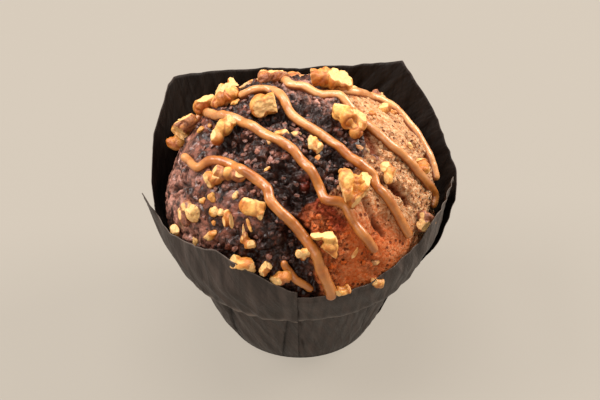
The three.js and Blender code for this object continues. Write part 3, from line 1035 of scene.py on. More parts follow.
WALNUTS = (
    Walnut(1, Cut.LOBED, 9, 8, 7, skin=0.5, raised=0.8, scale=1.08, nudge=(-1, -1.6), lobes=(
        (-2.4, 1.2, 0, 2.4, 2.4, 2.6), (0.4, 2.2, 0.3, 2.4, 2, 2.6), (2.4, -0.3, 0, 2.2, 2.8, 2.6),
        (-0.3, -1.4, 0.4, 2.2, 2.2, 2.4))),
    Walnut(2, Cut.KNOB, 7.2, 6.0, 5.6, skin=0.1),
    Walnut(3, Cut.LOBED, 7, 6.5, 5.5, skin=0.15, raised=1.2, scale=1.15, nudge=(-2.4, -1.2), lobes=(
        (-1.3, 0, 0, 2.4, 2.9, 2.5), (1.5, 0.4, 0, 2.2, 2.5, 2.4), (0.3, -1.4, 0.4, 2, 1.8, 2))),
    Walnut(4, Cut.CHUNK, 9, 7, 6, raised=1.2, scale=1.1, nudge=(-2.6, -4.2), lobes=(
        (2.1, 1.6, 0.8, 1.4, 3.6, 1.7), (-1.9, 0.2, 0, 2.3, 2.4, 2.2),
        (0.6, -1.9, 0, 3.0, 1.5, 1.8), (3.6, -0.8, 0.2, 1.2, 2.4, 1.5))),
    Walnut(5, Cut.LOBED, 8, 6, 6, skin=0.3, raised=0.6, scale=1.1, nudge=(2.2, -2.6), lobes=(
        (-3.0, -0.6, 0, 1.5, 2.8, 2.2), (-0.7, 0, 0.3, 1.3, 2.9, 2.4),
        (1.4, 0.2, 0.2, 1.2, 2.7, 2.2), (3.2, 0.8, 0, 1.1, 2.1, 1.8))),
    Walnut(6, Cut.CHUNK, 11, 8, 7, nudge=(0.6, -1.2), lobes=(
        (-2.2, 0, 0, 3.2, 3.8, 3.5), (1.4, 0.4, 0, 3.8, 3.5, 3.3), (4.5, 1.6, -0.2, 1.8, 1.8, 1.8))),
    Walnut(7, Cut.CHUNK, 8, 7, 6, scale=1.1, lobes=(
        (-1.7, -1.8, 0, 2.0, 2.4, 2.4), (0.8, 0.6, 0.2, 2.5, 2.3, 2.4), (2.8, 2.4, 0, 1.6, 1.5, 1.8))),
    Walnut(8, Cut.LOBED, 8, 7, 5, skin=0.45, raised=-0.2, scale=1.3, nudge=(1.5, -5.0), lobes=(
        (-2, 0.4, 0, 1.9, 2.7, 2.3), (0.6, -0.6, 0.3, 1.7, 2.5, 2.1), (2.5, 0.6, 0, 1.5, 2.3, 2))),
    Walnut(9, Cut.LOBED, 16, 9, 8, raised=0.4, nudge=(-1.2, -4.4), lobes=(
        (-4.9, -0.8, 0, 3.2, 2.7, 2.9), (-1.5, 0.5, 0.4, 2.7, 3.2, 3.2),
        (1.7, 0.3, 0.6, 1.8, 4.2, 3.6), (4.6, 0.5, 0.4, 2.2, 4.5, 3.4),
        (6.5, -0.4, 0, 1.5, 3.2, 2.6))),
    Walnut(10, Cut.LOBED, 11, 13, 9, raised=0.4, nudge=(-0.6, -2.2), lobes=(
        (-3.5, 2.6, 0, 2.2, 3.2, 3), (-0.2, 3.6, 0.5, 2.6, 2.6, 3.2),
        (2.8, 0.2, 0.6, 2.6, 4.3, 3.6), (-0.8, -0.6, 0.9, 2.5, 3.2, 3.4),
        (2.4, -4.2, 0, 1.9, 2.4, 2.6))),
    Walnut(11, Cut.KNOB, 4.6, 4.8, 4),
    Walnut(12, Cut.LOBED, 10, 13, 9, raised=0.5, scale=0.93, nudge=(-1.3, -1.2), lobes=(
        (-2.7, 1.2, 0, 2.7, 4.0, 3.5), (-2.2, -2.2, 0.1, 2.3, 3.2, 3.1), (-3.9, 4.0, 0, 1.7, 1.5, 2.4),
        (3.2, 1.2, 0.5, 1.7, 4.4, 4.0), (1.2, -4.2, 0, 2.0, 2.5, 2.8),
        (3.9, 4.4, 0.5, 1.8, 1.5, 3.0), (0.5, 0.4, -1.6, 2.6, 4.4, 2.6))),
    Walnut(13, Cut.CHUNK, 7, 6, 5, lobes=(
        (-1, 0, 0, 2.2, 2.6, 2.4), (1.6, -0.8, 0, 2.0, 1.8, 2.0))),
    Walnut(14, Cut.LOBED, 9, 6, 5, skin=0.4, scale=1.35, lobes=(
        (-3, 1.2, 0, 2, 1.7, 1.7), (0, 0, 0, 2.3, 1.5, 1.8), (3, -1.5, 0, 2.1, 1.5, 1.5))),
    Walnut(15, Cut.PLATE, 9, 8, 4, lobes=(
        (-1.3, 1.4, 0, 2.9, 2.7, 1.7), (1.3, 0.3, 0, 2.8, 2.7, 1.7), (2.7, -2.3, 0, 1.7, 1.7, 1.5))),
    Walnut(16, Cut.CHUNK, 8, 7, 5, skin=0.9, lobes=(
        (-2.2, -0.6, 0, 1.5, 3.6, 2.0), (0.6, 1.4, 0.2, 2.0, 2.3, 2.1),
        (2.2, -1.4, 0.2, 2.1, 2.8, 2.3))),
    Walnut(17, Cut.KNOB, 3.6, 5, 3.2, skin=0.2),
    Walnut(18, Cut.PLATE, 11, 9, 6, lobes=(
        (-3.6, 1.7, 0, 2.1, 1.3, 1.6), (0.4, 1.9, 0.4, 2.8, 2.2, 2.1), (3.8, 2.2, 0, 1.8, 1.2, 1.6),
        (0.5, -1.5, 0.2, 2.4, 2.2, 2.0), (1.7, -3.9, 0, 1.3, 1.4, 1.4))),
    Walnut(19, Cut.KNOB, 4.5, 4, 3.5),
    Walnut(20, Cut.CHUNK, 8, 5, 5, skin=0.35, raised=0.6, scale=1.1, lobes=(
        (-2.4, 1.2, 0.2, 2.3, 2.0, 2.2), (0.6, 0.4, 0.3, 2.6, 1.8, 2.1), (2.8, -0.9, 0, 1.8, 1.6, 1.7))),
    Walnut(21, Cut.KNOB, 4.8, 4, 4, 40, 0.3), Walnut(22, Cut.LOBED, 7, 5, 5, 0, 0.3),
    Walnut(23, Cut.LOBED, 5, 4, 3.5, 0, 0.2),
    Walnut(24, Cut.LOBED, 7, 6, 6, skin=0.65, lobes=(
        (-0.8, 1.3, 0, 2.3, 2, 2.6), (1.5, 0.9, 0.2, 1.9, 1.9, 2.4), (0, -1.5, 0, 2.9, 2.0, 2.4))),
    Walnut(25, Cut.KNOB, 6.5, 5.2, 4.5, 120), Walnut(26, Cut.PLATE, 6.5, 5, 3.5, 120),
    Walnut(27, Cut.LOBED, 6, 5, 4.5, 0, 0.6, nudge=(0.5, 3)), Walnut(28, Cut.KNOB, 5, 4, 3.5, 20, 0.4),
    Walnut(29, Cut.LOBED, 5, 4, 3.5, 150, 0.5), Walnut(30, Cut.LOBED, 5, 4, 4, 0, 0.1),
    Walnut(31, Cut.KNOB, 5, 4, 4, 60, 0.1), Walnut(32, Cut.LOBED, 9, 7, 6, 40, 0.2),
    Walnut(33, Cut.CHUNK, 8, 7, 6, 100, 0.1), Walnut(34, Cut.LOBED, 12, 8, 7, 10, 0.1),
    Walnut(35, Cut.CHUNK, 8, 6, 6, 70, 0.2), Walnut(36, Cut.LOBED, 10, 8, 7, 150, 0.3),
    Walnut(37, Cut.KNOB, 7, 6, 5, 0, 0.1), Walnut(38, Cut.CHUNK, 8, 6, 6, 30, 0.5),
    Walnut(39, Cut.LOBED, 7, 6, 5, 60, 0.2),
)


@dataclass
class WalnutMaker:
    """Breaks walnuts into pieces and beds them in the top of the muffin."""

    dome: Dome
    finish: Finish
    sunk: float = 0.31
    fullness: float = 1.1
    voxel: float = 0.32

    def shape(self, walnut: Walnut) -> bpy.types.Object:
        """Makes one piece about the origin.

        Args:
            walnut: The piece's cut, lobes and skin.

        Returns:
            The piece, with its folds and painted shade, its skin and its broken faces stored as attributes.
        """
        bpy.ops.object.select_all(action="DESELECT")
        lumps = []
        for east, north, out, *radii in walnut.own_lobes():
            bpy.ops.mesh.primitive_ico_sphere_add(subdivisions=3, radius=MM)
            lump = bpy.context.active_object
            fullness = walnut.scale * self.fullness
            stretch = Matrix.Diagonal((*(radius * fullness for radius in radii), 1.0))
            middle = Vector((east, north, out)) * walnut.scale * MM
            lump.data.transform(Matrix.Translation(middle) @ stretch)
            lumps.append(lump)
        for lump in lumps:
            lump.select_set(True)
        if len(lumps) > 1:
            bpy.ops.object.join()
        obj = bpy.context.active_object
        obj.name = f"walnut_{walnut.number}"
        modify(obj, "REMESH", mode="VOXEL", voxel_size=self.voxel * MM)
        modify(obj, "SMOOTH", factor=0.5, iterations=3)
        rng = random.Random(walnut.number * 7 + 1)
        points, normals = points_of(obj), normals_of(obj)
        seed = walnut.number * 3.7
        folds = np.clip(1 - np.abs(wavy(points, 4.2, seed)) * 4.5, 0.0, 1.0) ** 1.5
        wobble = 0.5 * wavy(points, 4.5, seed + 2.0) + 0.16 * wavy(points, 1.6, seed + 4.0)
        points = points + normals * ((wobble - walnut.cut.fold_depth * folds) * MM)[:, None]
        broken = np.zeros(len(points))
        for normal, share in self.broken_faces(walnut, rng):
            along_it = points @ normal
            beyond = along_it - along_it.max() * share
            broken = np.maximum(broken, ramp(beyond, -0.1 * MM, 0.25 * MM))
            points = points - np.clip(beyond, 0.0, None)[:, None] * 0.92 * normal
        crumbly = broken * (0.34 * wavy(points, 1.3, seed) + 0.2 * wavy(points, 0.7, seed))
        points = points + normals * (crumbly * MM)[:, None]
        move_points(obj, points)
        patchy = ramp(wavy(points, 4.0, seed + 9.0), 0.3 - walnut.skin, 0.5 - walnut.skin)
        # painted shade: one side of the piece, its own -Y side, is darkened as its folds are; the folds are
        # partly the nut's own colour and partly painted shade
        under = ramp(-points[:, 1] / (walnut.width * MM), 0.0, 0.55)
        paint(obj, "fold_and_shade", np.clip(folds * 0.7 + under * 0.55, 0.0, 1.0) * (1 - 0.85 * broken))
        paint(obj, "skin", patchy * min(1.0, 1.6 * walnut.skin) * (1 - broken))
        paint(obj, "broken", broken)
        return obj

    def broken_faces(self, walnut: Walnut, rng: random.Random) -> list[tuple[np.ndarray, float]]:
        """Chooses the flat faces where a piece broke, as normals and shares of its reach.

        Args:
            walnut: The piece.
            rng: The piece's own random numbers.

        Returns:
            The faces.
        """
        planes = []
        for _ in range(walnut.cut.faces):
            normal = np.array([rng.gauss(0, 1), rng.gauss(0.1, 0.9), rng.gauss(0.6, 0.6)])
            planes.append((normal / np.linalg.norm(normal), rng.uniform(0.6, 0.8)))
        return planes

    def bed(self, obj: bpy.types.Object, walnut: Walnut) -> None:
        """Turns a piece to lie on the dome and moves it to its CAD node's place.

        Args:
            obj: The piece, about the origin.
            walnut: Its turn, height and nudge.
        """
        low, high = (np.array(corner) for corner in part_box(walnut.node))
        middle = Vector((low + high) / 2)
        east, north = self.dome.chart(np.array([middle]))
        at, out = self.dome.place(float(east[0]), float(north[0]))
        lift = (walnut.height * (0.5 - self.sunk) + walnut.raised) * MM
        turn = Matrix.Rotation(math.radians(walnut.turn), 4, "Z")
        tip = Vector((0, 0, 1)).rotation_difference(out).to_matrix().to_4x4()
        slide = Matrix.Translation(Vector((*walnut.nudge, 0.0)) * MM)
        obj.data.transform(Matrix.Translation(at + out * lift) @ tip @ slide @ turn)

    def build(self) -> list[bpy.types.Object]:
        """Makes every piece.

        Returns:
            The pieces, in the order of their numbers.
        """
        pieces = []
        for walnut in WALNUTS:
            obj = self.shape(walnut)
            self.bed(obj, walnut)
            smooth(obj)
            self.finish.dress(obj)
            pieces.append(finish_piece(obj, [walnut.node]))
        return pieces


# Small bits of nut: [east, north] on the dome, then length, width, height and turn.
NUT_BITS: Sequence[tuple[float, float, float, float, float, float]] = (
    (-23, 35, 6.5, 2.6, 2.4, 5), (-2, -13, 3.4, 2.6, 2.2, 10), (-7, -16, 4.2, 2.6, 2.2, 5),
    (-13, -19, 3.6, 2.8, 2.4, 20), (-42, -44, 3.4, 3.0, 2.0, 30), (45, -69, 3.0, 2.4, 2.0, 20),
    (-47, -54, 5.2, 2.6, 1.3, 5), (-62, -52, 3.2, 2.6, 1.6, 60), (7, -28, 3.2, 1.6, 1.4, 60),
    (29, -67, 3.6, 1.3, 1.0, 70), (-42, 6, 2.2, 1.5, 1.4, 100), (-46, 5, 2.8, 2.0, 1.6, 30),
    (-28, 11, 3.2, 2.2, 1.5, 10), (-41, -38, 3.2, 2.6, 1.8, 80), (-38, -46, 2.8, 2.4, 1.8, 0),
    (-47, -37, 2.4, 2.0, 1.4, 0), (-29, -41, 2.8, 1.8, 1.2, 50), (-24, -55, 4.6, 1.2, 0.9, 100),
    (-28, -57, 4.2, 1.1, 0.8, 80), (-44, -49, 2.0, 1.8, 1.2, 0), (52, -2, 2.6, 2.2, 1.8, 0),
    (-14, -32, 2.4, 1.2, 1.0, 30), (18, 33, 3.4, 2.4, 2.0, 15), (31, 4, 2.4, 2.0, 1.6, 0),
    (-4, 31, 3.0, 2.2, 1.8, 30), (44, 20, 2.6, 2.0, 1.6, 0), (-62, 38, 3.4, 2.6, 2.0, 20),
    (20, 72, 3.2, 2.4, 2.0, 50), (-20, 78, 3.0, 2.2, 1.8, 10), (60, 40, 3.0, 2.4, 1.8, 80),
)


@dataclass
class LooseBits:
    """What has crumbled off: small bits of nut where they fell, and crumbs over the torn top."""

    dome: Dome
    batter: Muffin
    crumbs: int = 420
    seed: int = 5
    reach: float = 84.0
    drop_from: float = 12.0
    lift: float = 0.2

    def chip(self, rng: random.Random, sizes: tuple[float, float, float],
             subdivisions: int) -> bpy.types.Object:
        """Makes one small uneven lump about the origin, its sizes in millimetres.

        Args:
            rng: The random numbers that make it uneven.
            sizes: Its length, width and height.
            subdivisions: How finely it is divided.

        Returns:
            The lump.
        """
        bpy.ops.object.select_all(action="DESELECT")
        bpy.ops.mesh.primitive_ico_sphere_add(subdivisions=subdivisions, radius=0.5)
        obj = bpy.context.active_object
        points = points_of(obj)
        points *= (1 + 0.5 * wavy(points, 450.0, rng.uniform(0, 90)))[:, None]
        move_points(obj, points * np.array(sizes) * MM)
        return obj

    def join(self, name: str, pieces: Sequence[bpy.types.Object]) -> bpy.types.Object:
        """Joins loose pieces into one object.

        Args:
            name: The new object's name.
            pieces: The pieces, which it takes in.

        Returns:
            The joined object.
        """
        bpy.ops.object.select_all(action="DESELECT")
        for piece in pieces:
            piece.select_set(True)
        bpy.context.view_layer.objects.active = pieces[0]
        bpy.ops.object.join()
        obj = bpy.context.active_object
        obj.name = name
        return obj

    def settle(self, obj: bpy.types.Object, tree: BVHTree, place: Point, turn: float,
               thick: float) -> None:
        """Lays a bit on what is under it.

        Args:
            obj: The bit, about the origin.
            tree: What is under it.
            place: Its place on the dome.
            turn: Its turn, in degrees.
            thick: Its height, in millimetres.
        """
        start, out = self.dome.place(*place, self.drop_from * MM)
        hit = tree.ray_cast(start, -out)[0]
        at = (hit if hit is not None else self.dome.place(*place)[0]) + out * thick * self.lift * MM
        tip = Vector((0, 0, 1)).rotation_difference(out).to_matrix().to_4x4()
        obj.data.transform(Matrix.Translation(at) @ tip @ Matrix.Rotation(math.radians(turn), 4, "Z"))

    def build(self, muffin: bpy.types.Object, walnut: Finish, crumb: Finish) -> None:
        """Makes the nut bits and the crumbs, each kind joined in one piece.

        Args:
            muffin: What the bits lie on.
            walnut: The nut bits' finish.
            crumb: The crumbs' finish.
        """
        tree = BVHTree.FromObject(muffin, bpy.context.evaluated_depsgraph_get())
        rng = random.Random(self.seed)
        nuts = []
        for east, north, length, width, height, turn in NUT_BITS:
            bit = self.chip(rng, (length, width, height), 3)
            self.settle(bit, tree, (east, north), turn, height)
            nuts.append(bit)
        nut_bits = self.join("walnut_bits", nuts)
        smooth(nut_bits)
        points = points_of(nut_bits)
        paint(nut_bits, "fold_and_shade", 0.5 * ramp(wavy(points, 3.0, 2.0), 0.0, 0.5))
        paint(nut_bits, "skin", 0.6 * ramp(wavy(points, 9.0, 6.0), 0.25, 0.4))
        paint(nut_bits, "broken", ramp(wavy(points, 5.0, 12.0), -0.1, 0.1))
        walnut.dress(nut_bits)
        finish_piece(nut_bits, [])
        loose, shades = [], []
        while len(loose) < self.crumbs:
            east, north = rng.gauss(-8, 24), rng.gauss(-14, 30)
            if math.hypot(east, north) > self.reach:
                continue
            size = rng.uniform(0.7, 1.9)
            bit = self.chip(rng, (size * rng.uniform(1.0, 1.7), size, size * rng.uniform(0.4, 0.9)), 1)
            self.settle(bit, tree, (east, north), rng.uniform(0, 360), size)
            golden = float(east > self.batter.edge(np.array(north)) + rng.gauss(0, 4))
            baked = float(self.batter.baked(np.array(north)))
            shades.extend([(golden, baked)] * len(bit.data.vertices))
            loose.append(bit)
        crumbs = self.join("loose_crumbs", loose)
        paint(crumbs, "golden", np.array(shades)[:, 0])
        paint(crumbs, "baked", np.array(shades)[:, 1])
        paint(crumbs, "torn", np.full(len(shades), 0.4))
        for name in ("painted_hollow_shade", "moist"):
            paint(crumbs, name, np.zeros(len(shades)))
        paint(crumbs, "pale_crust_and_sheen", np.full(len(shades), 0.45))
        crumb.dress(crumbs)
        finish_piece(crumbs, [])


# ---------------------------------------------------------------- caramel


DRIZZLE_ROUTES: Sequence[Sequence[Point]] = (
    ((-58, -3), (-53, -12), (-48, -19), (-42, -19), (-34, -23), (-27, -29), (-20, -35), (-14, -41),
     (-13, -46), (-9, -51), (-3, -57), (3, -64), (8, -70), (11, -76), (15, -82), (19, -88),
     (20, -93)),
    ((-46, 27), (-40, 11), (-32, 2), (-25, -4), (-20, -10), (-14, -16), (-9, -20), (-4, -24),
     (0, -29), (5, -35), (9, -41), (11, -46), (16, -46), (20, -47), (24, -52), (28, -56),
     (34, -60), (41, -64)),
    ((-27, 17), (-20, 14), (-15, 16), (-11, 14), (-7, 5), (-4, -2), (1, -7), (6, -11), (11, -15),
     (17, -21), (22, -25), (28, -28), (33, -30), (35, -35), (40, -38), (47, -42), (54, -46),
     (62, -49)),
    ((-14, 33), (-10, 31), (-8, 33), (-6, 25), (-4, 17), (0, 15), (5, 12), (10, 10), (15, 8),
     (19, 5), (24, 2), (28, -4), (34, -9), (40, -12), (48, -13), (55, -15), (66, -14), (77, -12),
     (79, -20)),
    ((9, 25), (14, 20), (20, 17), (26, 20), (33, 29), (41, 30), (48, 27), (54, 23), (60, 19),
     (65, 16), (70, 12), (76, 7), (80, 3)),
    ((-8, -72), (-8, -76), (-3, -82), (2, -85), (8, -90)),
    ((-62, 32), (-52, 39), (-42, 44), (-30, 45), (-18, 50), (-6, 51), (6, 47), (18, 48), (30, 53),
     (42, 51), (54, 45), (64, 37)),
    ((-50, 60), (-36, 64), (-22, 69), (-8, 66), (6, 70), (20, 67), (34, 70), (46, 62)),
)


@dataclass
class Drizzle:
    """Set caramel, poured in strands that drape over the crumb and the nuts."""

    dome: Dome
    finish: Finish
    radius: float = 1.58
    step: float = 0.5
    sunk: float = 0.5
    drop_from: float = 16.0
    voxel: float = 0.28
    # how much thicker than usual a strand is at its start and its end
    thickness: dict[int, tuple[float, float]] = field(default_factory=lambda: {
        1: (0.9, 1.22), 2: (1.05, 1.0), 5: (1.0, 1.12), 6: (0.8, 0.85)})
    # the nuts that a strand was poured over
    over: dict[int, tuple[int, ...]] = field(default_factory=lambda: {
        1: (14,), 2: (5,), 5: (31,), 7: (32, 34), 8: (39,)})

    def ground(self, trees: Sequence[BVHTree], east: float, north: float) -> float:
        """Finds how far the topmost surface stands off the plain dome, in metres.

        Args:
            trees: The surfaces.
            east: Degrees east of the top.
            north: Degrees north of the top.

        Returns:
            The height, 0 where nothing is met.
        """
        start, out = self.dome.place(east, north, self.drop_from * MM)
        hits = [tree.ray_cast(start, -out)[3] for tree in trees]
        reached = [hit for hit in hits if hit is not None]
        return self.drop_from * MM - min(reached) if reached else 0.0

    def strand(self, number: int, route: Sequence[Point],
               trees: Sequence[BVHTree]) -> bpy.types.Object:
        """Makes one strand.

        Args:
            number: Its number, as in its CAD node's name.
            route: Its way over the dome.
            trees: What it lies on.

        Returns:
            The strand, a closed tube with round ends.
        """
        way = soften(along(np.array(route, float), self.step), 7)
        heights = np.array([self.ground(trees, *place) for place in way.tolist()])
        padded = np.pad(heights, 3, mode="edge")
        highest = np.array([padded[i : i + 7].max() for i in range(len(heights))])
        soft = soften((0.5 * highest + 0.5 * heights)[:, None], 13)[:, 0]
        count = len(way)
        places = [self.dome.place(*at, float(lift) + self.radius * MM * (1 - self.sunk))[0]
                  for at, lift in zip(way.tolist(), soft)]
        thicker = np.linspace(*self.thickness.get(number, (1.0, 1.0)), count)
        swell = thicker * np.array([
            1 + 0.12 * noise.noise(Vector((i * 0.09, number * 5.0, 0.0)))
            + 0.05 * noise.noise(Vector((i * 0.31, number * 9.0, 4.0))) for i in range(count)])
        run = np.concatenate([[0.0], np.cumsum(
            [(b - a).length for a, b in zip(places, places[1:])])])
        end = np.minimum(run, run[-1] - run) / (self.radius * MM)
        rounding = np.sqrt(np.clip(1 - (1 - np.clip(end, 0.0, 1.0)) ** 2, 0.0025, 1.0))
        curve = bpy.data.curves.new(f"caramel_{number}", "CURVE")
        curve.dimensions = "3D"
        curve.bevel_depth = self.radius * MM
        curve.bevel_resolution = 5
        curve.use_fill_caps = True
        spline = curve.splines.new("POLY")
        spline.points.add(count - 1)
        for point, place, thick in zip(spline.points, places, swell * rounding):
            point.co = (*place, 1.0)
            point.radius = float(thick)
        obj = bpy.data.objects.new(curve.name, curve)
        bpy.context.collection.objects.link(obj)
        only(obj)
        bpy.ops.object.convert(target="MESH")
        obj = bpy.context.active_object
        modify(obj, "REMESH", mode="VOXEL", voxel_size=self.voxel * MM)
        modify(obj, "SMOOTH", factor=0.5, iterations=8)
        # painted shade on the sides and underside, where the strand faces into the dome
        facing = np.einsum("ij,ij->i", normals_of(obj), self.dome.outward(points_of(obj)))
        paint(obj, "painted_side_shade", ramp(-facing, -0.30, 0.15))
        # painted light: paler towards the back and top of the dome, darker low at the front
        paint(obj, "painted_top_light", ramp(self.dome.chart(points_of(obj))[1], -35.0, 25.0))
        smooth(obj)
        return obj

    def build(self, muffin: bpy.types.Object, nuts: Sequence[bpy.types.Object]) -> None:
        """Makes every strand.

        Args:
            muffin: The muffin, which every strand lies on.
            nuts: The walnut pieces, in order.
        """
        graph = bpy.context.evaluated_depsgraph_get()
        crumb = BVHTree.FromObject(muffin, graph)
        for number, route in enumerate(DRIZZLE_ROUTES, start=1):
            poured_over = [nuts[nut - 1] for nut in self.over.get(number, ())]
            trees = [crumb, *(BVHTree.FromObject(nut, graph) for nut in poured_over)]
            obj = self.strand(number, route, trees)
            self.finish.dress(obj)
            finish_piece(obj, [f"caramel_drizzle_{number}"])


# ---------------------------------------------------------------- the case


@dataclass(frozen=True)
class Panel:
    """One stretch of the case: bearings in degrees, how far out it lies, and its rim."""

    start: float
    stop: float
    layer: float
    # bearing, height over the crease and stand-off from the muffin, in degrees and millimetres
    rim: Sequence[tuple[float, float, float]]


PANELS = (
    Panel(-20, 196, 0.45, (
        (-20, 8, 1.5), (-8, 14, 3), (0, 18, 5), (8, 21, 6.5), (16, 22, 6.7), (24, 26, 6.7),
        (32, 32, 6.7), (43, 39, 7), (50, 43, 7.7), (57, 40, 6.7), (69, 37, 4.5), (90, 33, 4.5),
        (115, 35, 6), (131, 39, 6.7), (142, 42, 7.5), (149, 41, 5.8), (157, 37, 4.2), (166, 32, 3.4),
        (176, 26, 2.4), (183, 20, 2), (190, 15, 1.5), (196, 12, 0.5))),
    Panel(-172, -91, 0.9, (
        (-172, 20, 3.5), (-169, 25, 4.6), (-166, 29, 5.2), (-158, 24, 2), (-149, 22, 0.8),
        (-136, 24, 0), (-124, 27, 0.3), (-114, 25, 0), (-102, 20, 0), (-91, 16.5, 0))),
    Panel(-97, 4, 0.0, (
        (-97, 14, 0), (-90, 14, 0), (-78, 14, 0), (-61, 15, 0), (-46, 18.5, 0), (-36, 20, 0.3),
        (-32, 26, 2), (-27, 28, 3), (-18, 28, 3), (-10, 29, 3.5), (-2, 27, 4), (4, 20, 4.5))),
)


@dataclass
class TulipCase:
    """The paper case: a base, and three overlapping panels that rise into petals."""

    dome: Dome
    finish: Finish
    shaded_lining: Finish
    base_radius: float = 25.0
    crease_radius: float = 37.0
    cup_height: float = 32.0
    crumb_crease: float = 30.0
    gap: float = 0.35
    thickness: float = 0.16
    slits: Sequence[float] = (-131.0, -95.5, -52.0, 30.0, 100.0, 155.0)
    bulge: float = 1.8
    tuck: float = 1.5
    hem: float = 1.5
    # how far the bulge, the tuck and the hem reach from the crease, in millimetres
    bulge_spread: float = 4.0
    tuck_spread: float = 2.5
    hem_spread: float = 1.3
    rows_cup: int = 30
    rows_petal: int = 38
    per_degree: float = 1.6
    sheet_radius: float = 36.0
    rings: int = 8
    spokes: int = 72

    def muffin_reach(self, height: float) -> float:
        """Gives the muffin's radius at a height above the crease, in millimetres.

        Args:
            height: A height over the table, in millimetres.

        Returns:
            The radius.
        """
        level = self.dome.level / MM
        overhang = level - self.crumb_crease
        below = max(0.0, (level - height) / overhang)
        inner = self.crease_radius - 0.8
        return inner + (self.dome.radius / MM - inner) * math.cos(below * math.pi / 2)

    def wrinkle(self, bearing: float, height: float, seed: float) -> float:
        """Gives the paper's small pleats and waves at a place, in millimetres.

        Args:
            bearing: Degrees from +X.
            height: The height, in millimetres.
            seed: The panel's own pattern.

        Returns:
            How far the paper stands out.
        """
        arc = math.radians(bearing)
        round_cup = Vector((math.cos(arc) * 7.5, math.sin(arc) * 7.5, height * 0.028 + seed))
        pleats = noise.noise(round_cup)
        fine = noise.noise(round_cup * 2.7)
        crisp = 1 - 2.2 * abs(pleats)
        slant = noise.noise(Vector((arc * 8 + height * 0.09, height * 0.03, seed + 5)))
        cup = 1.0 if height < self.cup_height else 0.8
        tuck = 1.1 * self.slit_depth(bearing, height)
        return cup * (0.40 * crisp + 0.2 * fine) + 0.5 * (1 - 2.5 * abs(slant)) + tuck

    def slit_depth(self, bearing: float, height: float) -> float:
        """Gives how deep the cup is tucked in at its slits, from 0 to -1; the painted shadow there follows
        it.

        Args:
            bearing: Degrees from +X.
            height: The height, in millimetres.

        Returns:
            The depth, 0 above the crease.
        """
        if height >= self.cup_height:
            return 0.0
        depth = 0.0
        for slit in self.slits:
            past = bearing - slit - 0.25 * (self.cup_height - height) * math.copysign(1, slit + 90)
            depth -= math.exp(-abs(past) / 2.2) * (1 if past > 0 else 0.1)
        return depth

    def wall(self, panel: Panel, bearing: float, share: float, flared: bool) -> tuple[float, float]:
        """Gives the radius and height of a place on a panel.

        Args:
            panel: The panel.
            bearing: Degrees from +X.
            share: From 0 at the base to 1 at the crease and 2 at the rim.
            flared: Whether it is above the crease.

        Returns:
            The radius and the height, in millimetres.
        """
        stations = np.array(panel.rim)
        rim = np.interp(bearing, stations[:, 0], stations[:, 1])
        off = np.interp(bearing, stations[:, 0], stations[:, 2])
        if not flared:
            height = self.cup_height * share
            radius = self.base_radius + (self.crease_radius - self.base_radius) * share
            radius += 0.5 * math.exp(-(((1 - share) * self.cup_height) / 1.6) ** 2)
            radius -= self.tuck * math.exp(-((height - self.cup_height) / self.tuck_spread) ** 2)
        else:
            part = share - 1
            height = self.cup_height + rim * part
            height -= self.hem * math.exp(-((rim * part / self.hem_spread) ** 2))
            radius = self.muffin_reach(min(height, self.dome.level / MM)) + self.gap + 0.5
            over = (height - self.cup_height) / self.bulge_spread
            radius += off * part * part + self.bulge * math.exp(-(over**2))
        edge = min(1.0, share * 6) * (1.0 if share < 1.85 else 0.8)
        radius += panel.layer * min(1.0, share * 3) + edge * self.wrinkle(bearing, height, panel.layer)
        return radius, height

    def panel_mesh(self, panel: Panel) -> tuple[np.ndarray, list, list, list]:
        """Lays out one panel's vertices, faces, sheet coordinates, its wear and painted highlight, and its
        painted shadow.

        Args:
            panel: The panel.

        Returns:
            The vertices, the faces, the sheet coordinates, the wear and painted highlight, and the painted
            shadow.
        """
        columns = int((panel.stop - panel.start) * self.per_degree) + 1
        shares = np.concatenate([np.linspace(0, 1, self.rows_cup), np.linspace(1, 2, self.rows_petal)])
        points, places, wear_and_painted_light = [], [], []
        for bearing in np.linspace(panel.start, panel.stop, columns):
            arc = math.radians(bearing)
            for row, share in enumerate(shares):
                radius, height = self.wall(panel, bearing, share, row >= self.rows_cup)
                points.append((radius * math.cos(arc) * MM, radius * math.sin(arc) * MM, height * MM))
                places.append((arc * self.sheet_radius * MM, height * MM))
                line_patches = 0.5 + 0.5 * noise.noise(Vector((arc * 9, share, panel.layer)))
                # partly wear, partly painted highlight: a light line just above the crease and along the
                # rim's edge, in uneven patches
                hem_line = math.exp(-(((share - 1.03) * 34) ** 2)) * 1.1
                edge_line = max(0.0, (share - 1.975) / 0.025) * 0.6
                # painted shadow: just under the hem and beside the slits
                shadow = math.exp(-(((share - 0.89) / 0.045) ** 2)) - self.slit_depth(bearing, height)
                shadow = min(1.0, shadow) * float(row < self.rows_cup)
                wear_and_painted_light.append(((hem_line + edge_line) * line_patches, shadow))
        rows = len(shares)
        faces = []
        for i in range(columns - 1):
            for j in range(rows - 1):
                a = i * rows + j
                faces.append((a, a + rows, a + rows + 1, a + 1))
        return np.array(points), faces, places, wear_and_painted_light

